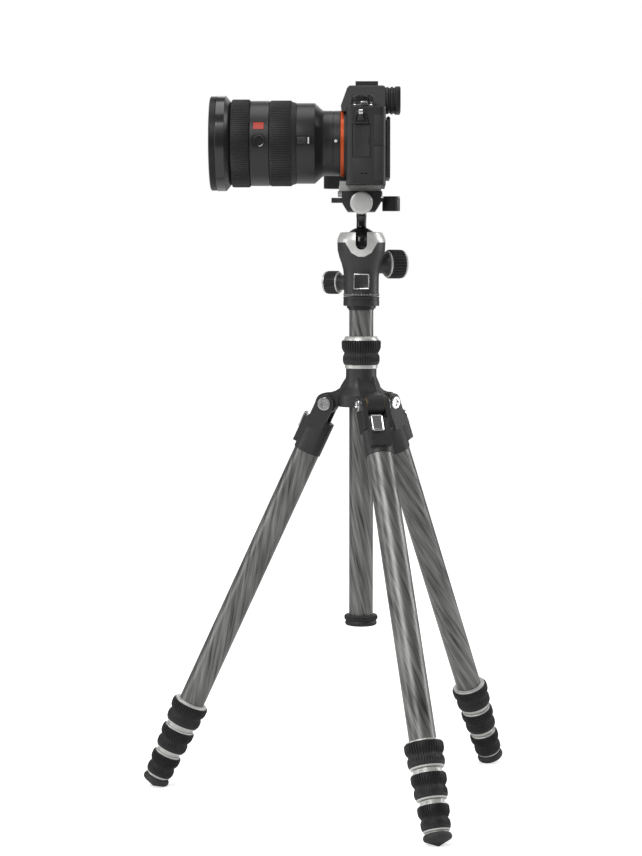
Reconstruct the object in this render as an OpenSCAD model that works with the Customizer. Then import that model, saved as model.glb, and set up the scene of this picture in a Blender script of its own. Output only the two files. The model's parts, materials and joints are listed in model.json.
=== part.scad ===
// Mirrorless camera with a zoom lens on a small carbon tripod with a ball head.
// The camera looks towards -X. The stack stands on its three rubber feet at z = 0.

/* [Stance] */
// Angle between each leg and the vertical
splay = 25; // [21:1:28]
// Direction of the first leg, from +X towards +Y
first_leg_azimuth = 169.3; // [150:0.1:190]
// Distance from the column's axis to each leg's pivot
pivot_radius = 32.2; // [31.5:0.1:42]
// Distance of a leg tube's axis inwards of its pivot
leg_offset = 1.5; // [0:0.1:2.5]

/* [Legs] */
// Diameter of the upper leg tube
leg_tube_d = 24.3; // [21:0.1:26]
// Step in diameter from one leg tube to the next
leg_tube_step = 3.4; // [3.2:0.1:4]
// Wall of every carbon tube
tube_wall = 1.2; // [0.8:0.1:1.3]
// Distance from a pivot to the top of the first twist lock
lock_start = 316; // [220:1:420]
// Height of a twist lock
lock_h = 24; // [20:0.5:30]
// Gap between one closed twist lock and the next
lock_gap = 3.6; // [2.5:0.1:6]
// How far a lock's upper ridge stands out from its tube
lock_ridge = 5.4; // [4.6:0.1:7]
// How far a lock's lower ridge stands out from its tube
lock_low_ridge = 4.4; // [4:0.1:6]
// Radius of a rubber foot
foot_r = 12.8; // [10:0.1:18]
// Radius over which a foot's cone rests on the ground
foot_cone_r = 11.4; // [8:0.1:16]
// Thickness of a foot's rim
foot_rim = 6; // [4:0.1:10]
// Distance from a pivot to the flat top of a leg's casting
casting_top = 16.5; // [15:0.1:24]
// Distance from a pivot to the lower end of a leg's casting
casting_end = 49; // [44:0.5:80]
// Wall of a leg's casting round its tube
casting_wall = 0.9; // [0.7:0.1:2]
// Radius of the casting's ears round the pivot
ear_r = 8.6; // [7.5:0.1:9]
// Thickness of each ear
ear_w = 4.7; // [3:0.1:6]
// Radius of a pivot bolt's shank
bolt_r = 3; // [2:0.1:4]
// Radius of a pivot bolt's head
bolt_head_r = 6; // [5:0.1:7.5]
// Thickness of a pivot bolt's head
bolt_head_h = 2.2; // [1.6:0.1:3]
// Thickness of a brass pivot washer
washer_t = 0.8; // [0.5:0.1:1.5]

/* [Spider] */
// Radius of the lobe that each leg turns on
lobe_r = 10; // [8:0.1:11]
// Width of that lobe
lobe_w = 16; // [12:0.5:22]
// Radius of the neck round the column
neck_r = 14.25; // [13.8:0.05:18]
// Height of the neck's top over the pivots
neck_top = 32.5; // [26:0.5:50]
// Depth of the neck's lower face under the pivots
neck_bottom = 2.8; // [2:0.1:8]
// Outer radius of the flare between the arms
flare_r = 22; // [18:0.5:22.5]

/* [Column] */
// Diameter of the centre column
column_d = 22.4; // [19:0.1:23]
// Length of column in view above its lock
column_show = 24.5; // [10:0.5:120]
// Length of column from the pivots down to its end cap
column_drop = 197.9; // [120:0.5:210]
// Radius of the column's end cap
end_cap_r = 15.6; // [13:0.1:16]
// Height of the column's end cap
end_cap_h = 10.2; // [8:0.1:20]
// Height of the column's twist lock
column_lock_h = 30; // [24:0.5:40]
// Radius of the column lock's upper ridge
column_lock_r = 18.3; // [17.5:0.1:22]

/* [Ball head] */
// Height of the head's fixed base
head_base_h = 12.4; // [10:0.1:20]
// Radius of the head's fixed base
head_base_r = 16.7; // [16:0.1:20]
// Height of the turning body, to its light trim
head_body_h = 49.6; // [46:0.1:60]
// Radius of the turning body at its waist
head_waist_r = 16.4; // [15.5:0.1:19]
// Radius of the turning body at its top
head_top_r = 22.3; // [21.6:0.1:26]
// Height of the light trim above the body
trim_h = 9.5; // [8:0.1:10.5]
// Radius of the ball
ball_r = 16.3; // [15.5:0.1:16.8]
// Radius of the stem
stem_r = 4.75; // [4:0.05:5]
// Height of the clamp's underside over the ball's centre
stem_rise = 30.4; // [26:0.1:40]
// Radius of the ball lock's rubber knob
ball_knob_r = 13.5; // [10:0.1:15]
// Radius of the pan lock's rubber knob
pan_knob_r = 10.8; // [8:0.1:12]
// Direction of the ball lock, from +X towards +Y
ball_knob_azimuth = 25; // [0:1:50]
// Direction of the pan lock, from +X towards +Y
pan_knob_azimuth = 155; // [130:1:180]

/* [Clamp and plate] */
// Length of the clamp along X
clamp_l = 36; // [32:0.5:50]
// Height of the clamp
clamp_h = 18.4; // [16:0.1:24]
// Width of the plate's dovetail at its widest
dovetail_w = 38; // [34:0.5:44]
// Length of the release plate
plate_l = 38.7; // [34:0.5:60]
// Thickness of the release plate over the clamp
plate_t = 5; // [3:0.1:6]
// Radius of the clamp's knob
clamp_knob_r = 10.3; // [8:0.1:11]

/* [Camera] */
// Depth of the body from its front to its back
body_depth = 35.8; // [32:0.1:44]
// Width from the lens axis to the side away from the grip
body_left = 56; // [50:0.5:66]
// Width from the lens axis to the grip's side
body_right = 71; // [68:0.5:84]
// Height of the body to its shoulders
body_h = 69.4; // [68:0.1:84]
// Height of the viewfinder hump over the shoulders
hump_h = 22.2; // [18:0.1:28]
// Wall of the body's shell
body_wall = 2.2; // [1.6:0.1:3]
// How far the grip reaches in front of the body
grip_reach = 22; // [16:0.5:26]
// Height of the lens axis over the body's base
axis_h = 39.4; // [39:0.1:46]
// Distance from the column's axis forward to the body's front
front_x = 13.8; // [10:0.1:16]
// Thickness of the tilting monitor
monitor_t = 4; // [3:0.1:6]

/* [Lens] */
// Length of the lens from its mount face
lens_l = 120; // [116:1:150]
// Radius of the wide front ring
lens_front_r = 43.8; // [43:0.1:48]
// Radius of the front filter thread
filter_r = 41; // [38:0.1:41.5]
// Radius of the focus ring
focus_ring_r = 40.4; // [39.9:0.1:42]
// Radius of the zoom ring
zoom_ring_r = 39.4; // [39:0.1:41]
// Radius of the section between the two rings
lens_mid_r = 39.1; // [38.9:0.1:39.3]
// Radius of the section behind the zoom ring
lens_rear_r = 37; // [35:0.1:38]
// Radius of the barrel at the mount
lens_mount_r = 30; // [28:0.1:31]

/* [Hidden] */
$fn = 64;
eps = 0.01;
run_gap = 0.06; // radial clearance of every running fit
face_gap = 0.3; // clearance between faces that turn or slide past each other
bond = 0.02; // glue line between bonded pieces
LEGS = [1, 2, 3];
CHARCOAL = [0.2, 0.2, 0.21];
CARBON = [0.42, 0.42, 0.41];
RUBBER = [0.07, 0.07, 0.075];
SILVER = [0.8, 0.8, 0.8];
PALE = [0.86, 0.86, 0.84];
BLACK = [0.1, 0.1, 0.105];

// legs: tube k counts from 1 at the top, and lengths run down from the pivot
function tube_r(k) = leg_tube_d / 2 - (k - 1) * leg_tube_step / 2;
function tube_bore(k) = tube_r(k) - tube_wall;
function collar_r(k) = tube_r(k) + 1.25;
function lock_top(k) = lock_start + (k - 1) * (lock_h + lock_gap);
function lock_end(k) = lock_top(k) + lock_h;
function leg_azimuth(i) = first_leg_azimuth + 120 * (i - 1);
socket_floor = casting_top + 5.5;
function section_top(k) = socket_floor + 2 + 2 * (k - 1);
bush_h = 26;
collar_h = 16;
casting_r = tube_r(1) + casting_wall;
latch_y = -4; // the latch sits to one side of the leg's middle
ear_in = lobe_w / 2 + washer_t + 0.1;
ear_out = ear_in + ear_w;
foot_top = lock_end(3) + 1.2;
foot_cone_h = foot_cone_r * tan(splay);
foot_tip = foot_top + foot_rim + foot_cone_h;
foot_profile = [
    [0, foot_top],
    [foot_r - 3, foot_top],
    [foot_r - 1, foot_top + 1],
    [foot_r, foot_top + 2.8],
    [foot_r - 0.3, foot_top + foot_rim - 1.2],
    [foot_cone_r, foot_tip - foot_cone_h],
    [0, foot_tip]
];

// the stance sets every height: the cone of each foot lies on the ground
pivot_z = leg_offset * sin(splay) + foot_tip * cos(splay);
function foot_reach(i, way) =
    let (c = cos(leg_azimuth(i) - way), lean = sin(splay) * c)
    (pivot_radius - leg_offset * cos(splay)) * c
    + max([for (p = foot_profile) p[1] * lean + p[0] * sqrt(1 - lean * lean)]);
function reach(way) = max([for (i = LEGS) foot_reach(i, way)]);
centre_x = (reach(0) - reach(180)) / 2;
centre_y = (reach(90) - reach(270)) / 2;

// column and head, upwards
column_r = column_d / 2;
column_lock_z = pivot_z + neck_top;
head_z = column_lock_z + column_lock_h + column_show;
head_base_top = head_z + head_base_h;
body_z = head_base_top + face_gap;
trim_z = body_z + head_body_h;
head_top_z = trim_z + trim_h;
ball_z = head_top_z - 11.3;
cavity_r = ball_r + 0.3;
notch_r = stem_r + 0.5;
notch_z = ball_z - stem_r - 0.2 + notch_r;
ball_knob_z = ball_z - ball_r - 1.7;
pan_knob_z = body_z + 12.7;
clamp_z = ball_z + stem_rise;
clamp_top = clamp_z + clamp_h;
dovetail_d = 4.2; // depth of the dovetail
dovetail_side = 3; // how far its foot is wider than its neck, each side
knob_z = clamp_z + 7.2;
base_z = clamp_top + plate_t;

// camera
rear_x = body_depth - front_x;
shoulder_z = base_z + body_h;
cover_t = 3.4;
hump_top = shoulder_z + hump_h;
axis_z = base_z + axis_h;
grip_y = body_right - 12;
lug_z = base_z + 65;
lug_x = -0.6;
ring_wire = 0.8;
monitor_hinge_z = base_z + 59;
dial_x = 0.5;
dial_y = 21 - body_left;

// lens, forwards from the column's axis
mount_d = front_x + 2.1; // face of the body's mount boss
mount_ring_t = 3.4;
boss_r = 33; // round boss that carries the mount
boss_back = front_x - body_wall;
lens_d = mount_d + mount_ring_t;
nose_d = lens_d + lens_l;
zoom_d = lens_d + 40.8;
zoom_l = 24;
focus_d = lens_d + 83.3;
focus_l = 16.8;
mid_d = zoom_d + zoom_l + face_gap;
journal_r = lens_rear_r - 0.3;
sleeve_r = journal_r - 2.6; // bore in which the zooming barrel slides
front_d = focus_d + focus_l + 0.5;
button_d = mid_d + 9.4;
button_r = 4.35;
switch_d = lens_d + 32.2;

// ---- shared shapes ----

module stand() translate([-centre_x, -centre_y, 0]) children();
module place_leg(i)
    stand()
    rotate([0, 0, leg_azimuth(i)])
    translate([pivot_radius, 0, pivot_z])
    rotate([0, -splay, 0])
    children();
// turns z into the distance down the leg's tube axis
module down_leg(i) place_leg(i) translate([-leg_offset, 0, 0]) rotate([180, 0, 0]) children();
// turns z into a level direction on the head, at height h
module outwards(azimuth, h) stand() translate([0, 0, h]) rotate([0, 0, azimuth]) rotate([0, 90, 0]) children();
// turns z into the distance forwards along the lens axis
module along_lens() stand() translate([0, 0, axis_z]) rotate([0, -90, 0]) children();
module revolve(points) rotate_extrude() polygon(points);
module rod(r, from, to) translate([0, 0, from]) cylinder(r = r, h = to - from);
module pipe(r, bore, from, to)
    difference() {
        rod(r, from, to);
        rod(bore, from - 1, to + 1);
    }
module block(low, high) translate(low) cube(high - low);
// an outline drawn in X and Z, from one Y to another
module slab_y(from, to) translate([0, to, 0]) rotate([90, 0, 0]) linear_extrude(to - from) children();
// an outline drawn in Y and Z, from one X to another
module slab_x(from, to) translate([from, 0, 0]) rotate([90, 0, 90]) linear_extrude(to - from) children();
module rounded(low, high, r) {
    translate([low[0] + r, low[1]]) square([high[0] - low[0] - 2 * r, high[1] - low[1]]);
    translate([low[0], low[1] + r]) square([high[0] - low[0], high[1] - low[1] - 2 * r]);
    for (x = [low[0] + r, high[0] - r], y = [low[1] + r, high[1] - r]) {
        translate([x, y]) circle(r = r);
    }
}
// rubber grip of a twist lock, with an upper and a lower ridge, z from its top
module lock_grip(bore, high, low, h)
    revolve([
        [bore, 0],
        [high - 2, 0],
        [high - 0.5, 1.4],
        [high, h * 0.16],
        [high, h * 0.3],
        [low - 0.9, h * 0.52],
        [low, h * 0.7],
        [low, h * 0.84],
        [low - 1.5, h],
        [bore, h]
    ]);
// knurled knob on a shaft: a pale ring, a rubber grip and a pale cap, z outwards
module lock_knob(r, ring_d, grip_end, shaft_r, shaft_from) {
    color(PALE)
    union() {
        rod(shaft_r, shaft_from, ring_d + eps);
        rod(r - 1.1, ring_d, ring_d + 1.3);
        rod(r - 3, ring_d + 1.2, grip_end);
        translate([0, 0, grip_end - eps]) cylinder(r1 = r - 0.6, r2 = r - 2.6, h = 2);
    }
    color(RUBBER)
    revolve([
        [r - 3 + bond, ring_d + 1.3 + bond],
        [r - 0.6, ring_d + 1.3 + bond],
        [r, ring_d + 2.2],
        [r, grip_end - 1.4],
        [r - 0.6, grip_end - bond - eps],
        [r - 3 + bond, grip_end - bond - eps]
    ]);
}

// ---- spider and column ----

module spider_arm() {
    slab_y(-lobe_w / 2, lobe_w / 2)
    polygon([
        [5, 0.5 - neck_bottom],
        [flare_r - 4, 0.5 - neck_bottom],
        [pivot_radius - 6, -neck_bottom - 1.5],
        [pivot_radius - 1, -neck_bottom],
        [pivot_radius - 1, lobe_r - 0.4],
        [flare_r + 1, lobe_r + 2],
        [flare_r - 3, lobe_r + 4.4],
        [neck_r + 2, neck_top - 13],
        [neck_r - 2, neck_top - 7],
        [5, neck_top - 7]
    ]);
    translate([pivot_radius, lobe_w / 2, 0]) rotate([90, 0, 0]) cylinder(r = lobe_r, h = lobe_w);
}

// body of the spider: the flare between the arms, the neck, and the thread of the column lock
module neck()
    revolve([
        [0, -neck_bottom],
        [flare_r - 1, -neck_bottom],
        [flare_r, -neck_bottom + 1],
        [flare_r, 8],
        [flare_r - 2.4, 11.5],
        [neck_r + 2.2, 16],
        [neck_r + 0.8, 20],
        [neck_r, 26],
        [neck_r, neck_top],
        [neck_r - 1.2, neck_top],
        [neck_r - 1.2, neck_top + column_lock_h * 0.6],
        [0, neck_top + column_lock_h * 0.6]
    ]);

module apex()
    color(CHARCOAL)
    stand()
    translate([0, 0, pivot_z])
    difference() {
        union() {
            neck();
            for (i = LEGS) {
                rotate([0, 0, leg_azimuth(i)]) spider_arm();
            }
        }
        rod(column_r + run_gap, -neck_bottom - 1, neck_top + column_lock_h);
        for (i = LEGS) {
            rotate([0, 0, leg_azimuth(i)])
            translate([pivot_radius, 0, 0])
            rotate([90, 0, 0])
            rod(bolt_r + bond, -lobe_w, lobe_w);
        }
    }

module pivot_bolt() {
    color(SILVER)
    difference() {
        union() {
            rod(bolt_r, -ear_out - eps, ear_out);
            rod(bolt_head_r, -ear_out - bolt_head_h - 0.1, -ear_out - 0.1);
        }
        translate([0, 0, -ear_out - bolt_head_h - 1]) cylinder(r = 2.2, h = 2.4, $fn = 6);
    }
    color(SILVER)
    difference() {
        rod(bolt_head_r, ear_out + 0.1, ear_out + bolt_head_h + 0.1);
        translate([0, 0, ear_out + bolt_head_h - 1.4]) cylinder(r = 2.2, h = 2.6, $fn = 6);
        rod(bolt_r - 0.5, ear_out, ear_out + 0.6);
    }
    for (side = [-1, 1]) {
        color([0.78, 0.6, 0.25])
        translate([0, 0, side * (lobe_w / 2 + 0.05 + washer_t / 2)])
        pipe(ear_r - 0.2, bolt_r + bond, -washer_t / 2, washer_t / 2);
    }
}

module pivot_hardware()
    for (i = LEGS) {
        place_leg(i) rotate([90, 0, 0]) pivot_bolt();
    }

module column_lock() {
    low = column_lock_z + 0.2;
    top = low + column_lock_h - 0.2;
    nut_r = neck_r + 1.2;
    stand() {
        color(SILVER)
        revolve([
            [neck_r - 1.2 + run_gap, low],
            [column_lock_r - 3.1, low],
            [column_lock_r - 3.1, low + 3.4],
            [nut_r, low + 3.4],
            [nut_r, top - 3.6],
            [column_lock_r - 2, top - 3.6],
            [column_lock_r - 3.4, top],
            [column_r + run_gap, top],
            [column_r + run_gap, top - 6],
            [neck_r - 1.2 + run_gap, top - 6]
        ]);
        color(RUBBER)
        translate([0, 0, top - 3.6 - bond])
        rotate([180, 0, 0])
        lock_grip(nut_r + bond, column_lock_r, column_lock_r - 1.1, column_lock_h - 7.2 - 2 * bond);
    }
}

module column_tube()
    color(CARBON)
    stand()
    pipe(column_r, column_r - tube_wall, pivot_z - column_drop - 4, head_z + 8);

module column_end_cap() {
    top = pivot_z - column_drop;
    color(RUBBER)
    stand()
    revolve([
        [0, top - end_cap_h],
        [end_cap_r - 3, top - end_cap_h],
        [end_cap_r - 1.2, top - end_cap_h + 1],
        [end_cap_r - 0.5, top - end_cap_h + 2.4],
        [end_cap_r - 1.6, top - end_cap_h * 0.52],
        [end_cap_r, top - end_cap_h * 0.4],
        [end_cap_r, top - end_cap_h * 0.14],
        [end_cap_r - 1, top],
        [column_r, top],
        [column_r, top - 4],
        [column_r - tube_wall, top - 4],
        [column_r - tube_wall, top + 8],
        [0, top + 8]
    ]);
}

// ---- legs ----

module leg_upper(i) {
    color(CHARCOAL)
    difference() {
        union() {
            down_leg(i) rod(casting_r, casting_top, casting_end);
            place_leg(i) {
                for (side = [-1, 1]) {
                    slab_y(side * (ear_in + ear_out) / 2 - ear_w / 2, side * (ear_in + ear_out) / 2 + ear_w / 2) {
                        circle(r = ear_r);
                        translate([-ear_r, -casting_top - 9]) square([2 * ear_r, casting_top + 9]);
                    }
                }
            }
            // raised bed of the latch
            place_leg(i)
            block([4, -11, -casting_end + 5], [casting_r - leg_offset + 2.6, 8, -casting_top - 2]);
        }
        down_leg(i) rod(tube_r(1) + bond, socket_floor, casting_end + 1);
        place_leg(i) rotate([90, 0, 0]) rod(bolt_r + run_gap, -ear_out - 1, ear_out + 1);
        place_leg(i) latch_space(0.1);
    }
    color(CARBON) down_leg(i) pipe(tube_r(1), tube_bore(1), socket_floor + bond, lock_top(1) + collar_h - 2);
    color(SILVER) down_leg(i) pipe(collar_r(1), tube_r(1) + bond, lock_top(1) - 0.6, lock_top(1) + collar_h - 2);
}

// slot through the casting in which the latch slides, widened by g
module latch_space(g) {
    outer = casting_r - leg_offset + 3;
    block([-2 - g, latch_y - 4 - g, -casting_top - 4.6 - g], [outer, latch_y + 4 + g, -casting_top + 1]);
}

module leg_latch(i) {
    outer = casting_r - leg_offset + 2.6;
    color(SILVER)
    place_leg(i) {
        block([-1.8, latch_y - 4, -casting_top - 4.4], [outer + 0.2, latch_y + 4, -casting_top - 1]);
        block([outer + 0.15, latch_y - 6, -casting_top - 15], [outer + 2.2, latch_y + 6, -casting_top + 1]);
    }
}

module leg_section(i, k) {
    tube_end = k < 4 ? lock_top(k) + collar_h - 2 : foot_top - bond;
    color(CARBON) down_leg(i) pipe(tube_r(k), tube_bore(k), section_top(k), tube_end);
    color([0.3, 0.3, 0.3])
    down_leg(i)
    pipe(tube_bore(k - 1) - run_gap, tube_r(k) + bond, section_top(k), section_top(k) + bush_h);
    if (k < 4) {
        color(SILVER)
        down_leg(i)
        difference() {
            union() {
                rod(collar_r(k), lock_end(k - 1) + 0.5, lock_top(k) + collar_h - 2);
                rod(collar_r(k) + 0.9, lock_end(k - 1) + 0.5, lock_top(k) - 0.4);
            }
            rod(tube_r(k) + bond, lock_end(k - 1), lock_top(k) + collar_h);
        }
    } else {
        color(RUBBER) down_leg(i) revolve(foot_profile);
    }
}

module leg_lock(i, k) {
    top = lock_top(k);
    inner = collar_r(k) + run_gap;
    nut_r = collar_r(k) + 1.3;
    high = tube_r(k) + lock_ridge;
    low = tube_r(k) + lock_low_ridge;
    throat = tube_r(k + 1) + run_gap;
    color(SILVER)
    down_leg(i)
    revolve([
        [inner, top],
        [high - 1.8, top],
        [high - 1.8, top + 1.2],
        [nut_r, top + 1.2],
        [nut_r, top + lock_h - 1.4],
        [low - 1.3, top + lock_h - 1.4],
        [low - 1.6, top + lock_h],
        [throat, top + lock_h],
        [throat, top + collar_h - 1],
        [inner, top + collar_h - 1]
    ]);
    color(RUBBER)
    down_leg(i)
    translate([0, 0, top + 1.2 + bond])
    lock_grip(nut_r + bond, high, low, lock_h - 2.6 - 2 * bond);
}

// ---- ball head ----

module head_base()
    color(BLACK)
    stand()
    difference() {
        revolve([
            [0, head_z],
            [column_r + 0.8, head_z],
            [column_r + 0.8, head_z + 1.4],
            [13.4, head_z + 1.4],
            [13.4, head_z + 3.7],
            [head_base_r - 0.6, head_z + 3.7],
            [head_base_r, head_z + 4.3],
            [head_base_r, head_base_top - 0.5],
            [head_base_r - 0.5, head_base_top],
            [8, head_base_top],
            [8, head_base_top + 8],
            [0, head_base_top + 8]
        ]);
        rod(column_r, head_z - 1, head_z + 8);
    }

// outer shape of the turning body and its trim, without its bores
module head_form()
    revolve([
        [0, body_z],
        [head_waist_r + 0.1, body_z],
        [head_waist_r + 0.1, body_z + 2.4],
        [head_waist_r - 0.2, body_z + 2.8],
        [head_waist_r - 0.1, body_z + 17],
        [head_waist_r + 0.3, body_z + 23.6],
        [head_waist_r + 1.8, body_z + 29.7],
        [head_top_r - 1.7, body_z + 36.6],
        [head_top_r - 0.3, body_z + 42.6],
        [head_top_r, trim_z],
        [head_top_r, trim_z + 2.4],
        [head_top_r - 0.9, trim_z + 5],
        [head_top_r - 2.8, head_top_z - 0.4],
        [head_top_r - 3.6, head_top_z],
        [0, head_top_z]
    ]);

// everything that belongs to the trim: the top ring, and the tongue round the notch
module trim_zone() {
    block([-40, -40, trim_z], [40, 40, head_top_z + 1]);
    slab_y(-40, -6) {
        intersection() {
            translate([0, trim_z + 1.2]) circle(r = 15.4);
            polygon([[-15.5, trim_z + 1], [15.5, trim_z + 1], [9.4, trim_z - 9.5], [3, trim_z - 13.2], [-3, trim_z - 13.2], [-9.4, trim_z - 9.5]]);
        }
    }
}

module head_bores() {
    translate([0, 0, ball_z]) sphere(r = cavity_r);
    slab_y(-40, 0) {
        translate([0, notch_z]) circle(r = notch_r);
        translate([-notch_r, notch_z]) square([2 * notch_r, 30]);
    }
    rod(cavity_r * 0.72, ball_z + 8, head_top_z + 1);
    rod(8 + run_gap, body_z - 1, head_base_top + 8.4);
}

module head_body() {
    color(CHARCOAL)
    difference() {
        union() {
            stand() head_form();
            outwards(ball_knob_azimuth, ball_knob_z) {
                rod(8.8, 8, 25);
                translate([0, 0, 22]) cylinder(r1 = 8.8, r2 = 10.6, h = 3.6);
            }
            outwards(pan_knob_azimuth, pan_knob_z) rod(7, 8, 21.6);
            stand() block([-7.8, -head_waist_r - 0.4, pan_knob_z - 6.6], [7.8, -8, pan_knob_z + 8.6]);
        }
        stand() trim_zone();
        stand() head_bores();
        outwards(ball_knob_azimuth, ball_knob_z) rod(3.5 + run_gap, 12, 40);
        outwards(pan_knob_azimuth, pan_knob_z) rod(3 + run_gap, 12, 40);
    }
}

module head_trim()
    color(PALE)
    stand()
    difference() {
        intersection() {
            head_form();
            trim_zone();
        }
        head_bores();
    }

module ball()
    color(BLACK)
    stand()
    translate([0, 0, ball_z])
    difference() {
        sphere(r = ball_r);
        rod(4, -ball_r - 1, -ball_r + 3);
    }

module ball_stem()
    color([0.3, 0.3, 0.31])
    stand()
    difference() {
        union() {
            rod(stem_r, ball_z + ball_r - 2, clamp_z - 0.1);
            rod(stem_r - 1.4, clamp_z - 0.2, clamp_z + 5);
        }
        translate([0, 0, ball_z]) sphere(r = ball_r + 0.08);
    }

module ball_lock_knob()
    outwards(ball_knob_azimuth, ball_knob_z) lock_knob(ball_knob_r, 26, 41, 3.5, 13);

module pan_lock_knob()
    outwards(pan_knob_azimuth, pan_knob_z) lock_knob(pan_knob_r, 22, 34.4, 3, 13);

// ---- clamp and plate ----

function dovetail(g) = [
    [dovetail_w / 2 - dovetail_side + g, clamp_top + eps],
    [dovetail_w / 2 + g, clamp_top - dovetail_d + 1.2],
    [dovetail_w / 2 + g, clamp_top - dovetail_d - g],
    [-dovetail_w / 2 - g, clamp_top - dovetail_d - g],
    [-dovetail_w / 2 - g, clamp_top - dovetail_d + 1.2],
    [-dovetail_w / 2 + dovetail_side - g, clamp_top + eps]
];
jaw_y = dovetail_w / 2 - 5; // where the moving jaw meets the fixed base

module clamp_outline() polygon([
    [-clamp_l / 2, clamp_top - 0.4],
    [clamp_l / 2, clamp_top - 0.4],
    [clamp_l / 2, clamp_z + 8.5],
    [clamp_l / 2 - 3.2, clamp_z + 3],
    [clamp_l / 2 - 5.4, clamp_z],
    [5.4 - clamp_l / 2, clamp_z],
    [3.2 - clamp_l / 2, clamp_z + 3],
    [-clamp_l / 2, clamp_z + 8.5]
]);

module clamp_base() {
    pot_x = clamp_l / 2 + 9.5;
    pot_r = 8.2;
    color(BLACK)
    stand()
    difference() {
        union() {
            slab_y(-jaw_y + 0.15, dovetail_w / 2 + 5) clamp_outline();
            block([-clamp_l / 2 - 9.7, -6, clamp_z + 8.2], [1 - clamp_l / 2, 6, clamp_z + 13]);
            block([clamp_l / 2 - 1, -5, clamp_z + 9], [pot_x, 5, clamp_z + 12.9]);
            translate([pot_x, 0, 0]) rod(pot_r, clamp_z + 0.5, clamp_z + 13.4);
        }
        slab_x(-40, 40) polygon(dovetail(face_gap));
        block([-40, -dovetail_w / 2 - 1, clamp_top - dovetail_d - 1.6], [40, dovetail_w / 2 - 6, clamp_top]);
        rod(stem_r - 1.4 + run_gap, clamp_z - 1, clamp_z + 5.2);
        translate([0, 0, knob_z]) rotate([90, 0, 0]) rod(2.5 + run_gap, 2, 40);
        translate([pot_x, 0, 0]) rod(pot_r - 1.6, clamp_z + 10, clamp_z + 14);
    }
    color([0.75, 0.85, 0.3, 0.8])
    stand()
    translate([pot_x, 0, 0])
    rod(pot_r - 1.6, clamp_z + 10, clamp_z + 13);
}

module clamp_jaw()
    color(BLACK)
    stand()
    difference() {
        slab_y(-dovetail_w / 2 - 5, -jaw_y - 0.15) clamp_outline();
        slab_x(-40, 40) polygon(dovetail(0.05));
        translate([0, 0, knob_z]) rotate([90, 0, 0]) rod(3.6 + run_gap, 2, 40);
    }

module clamp_knob() {
    seat = dovetail_w / 2 + 5.3;
    color(PALE)
    stand()
    translate([0, 0, knob_z])
    rotate([90, 0, 0]) {
        rod(2.5, 5, jaw_y);
        rod(3.6, jaw_y - eps, seat + eps);
        rod(clamp_knob_r - 2.4, seat, seat + 3);
        revolve([
            [0, seat + 2.9],
            [clamp_knob_r - 0.5, seat + 2.9],
            [clamp_knob_r, seat + 3.6],
            [clamp_knob_r, seat + 10.5],
            [clamp_knob_r - 0.9, seat + 11.4],
            [0, seat + 11.4]
        ]);
    }
}

module release_plate() {
    back = -20.6 + plate_l;
    color(SILVER)
    stand()
    difference() {
        union() {
            block([-20.6, -dovetail_w / 2, clamp_top], [back, dovetail_w / 2, base_z]);
            slab_x(-20.6 - 1.2, back + 1.2) polygon(dovetail(0));
            block([-20.2, -14, base_z - 1], [-front_x - 0.2, 14, base_z + 4.2]);
        }
        rod(3.2, clamp_top - dovetail_d - 1, base_z + 1);
        rod(8.2, clamp_top - dovetail_d - 1, clamp_top);
    }
    // captive screw into the camera's socket
    color(SILVER)
    stand()
    difference() {
        union() {
            rod(8, clamp_top - dovetail_d + 0.3, clamp_top - 0.1);
            rod(3.1, clamp_top - 0.2, base_z + 4.6);
        }
        block([-9, -0.8, clamp_top - dovetail_d], [9, 0.8, clamp_top - dovetail_d + 1.6]);
    }
}

// ---- camera ----

// plan of the body and grip, drawn in X and Y and shrunk by s on every side
module body_plan(s) {
    rounded([-front_x + s, -body_left + s], [rear_x - s, body_right - s], 6 - s);
    translate([-front_x - grip_reach + 9.5, grip_y - 1]) circle(r = 9.5 - s);
    translate([-front_x - grip_reach + 12, grip_y + 3]) circle(r = 9 - s);
    polygon([
        [-front_x + 8, body_right - 34 + s],
        [-front_x + 0.5 + s, body_right - 34 + s],
        [-front_x - 4 + s, body_right - 29 + s],
        [-front_x - grip_reach + 4.7 + s, grip_y - 9.2 + s],
        [-front_x - grip_reach + 9, grip_y + 3],
        [-front_x - grip_reach + 12, grip_y + 12 - s],
        [-front_x + 8, body_right - s]
    ]);
}

// round bar along the lens axis, between two distances in front of the column's axis
module along_lens_rod(r, from, to) translate([-to, 0, axis_z]) rotate([0, 90, 0]) cylinder(r = r, h = to - from);

module camera_body()
    color(BLACK)
    stand()
    difference() {
        union() {
            translate([0, 0, base_z]) linear_extrude(body_h - cover_t) body_plan(0);
            along_lens_rod(boss_r, boss_back, mount_d);
            // strap lugs
            for (side = [-1, 1]) {
                lug = side < 0 ? body_left : body_right;
                slab_x(lug_x - 1.6, lug_x + 1.6)
                translate([side * lug, 0])
                polygon([
                    [-side * 2, lug_z - 4],
                    [side * 1, lug_z - 3],
                    [side * 4.4, lug_z - 2.2],
                    [side * 4.4, lug_z + 0.9],
                    [-side * 2, lug_z + 1]
                ]);
            }
        }
        translate([0, 0, base_z + body_wall]) linear_extrude(body_h) body_plan(body_wall);
        along_lens_rod(23.5, 1, mount_d + 1);
        rod(3.2, base_z - 1, base_z + 6);
        // seat of the terminal door
        block([-8.1, -body_left - 1, base_z + 23.8], [8.1, -body_left + 1.6, base_z + 53.8]);
        for (side = [-1, 1]) {
            lug = side < 0 ? body_left : body_right;
            translate([lug_x - 4, side * (lug + 2.7), lug_z - 0.7])
            rotate([0, 90, 0])
            cylinder(r = ring_wire + run_gap, h = 8);
        }
    }

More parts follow.
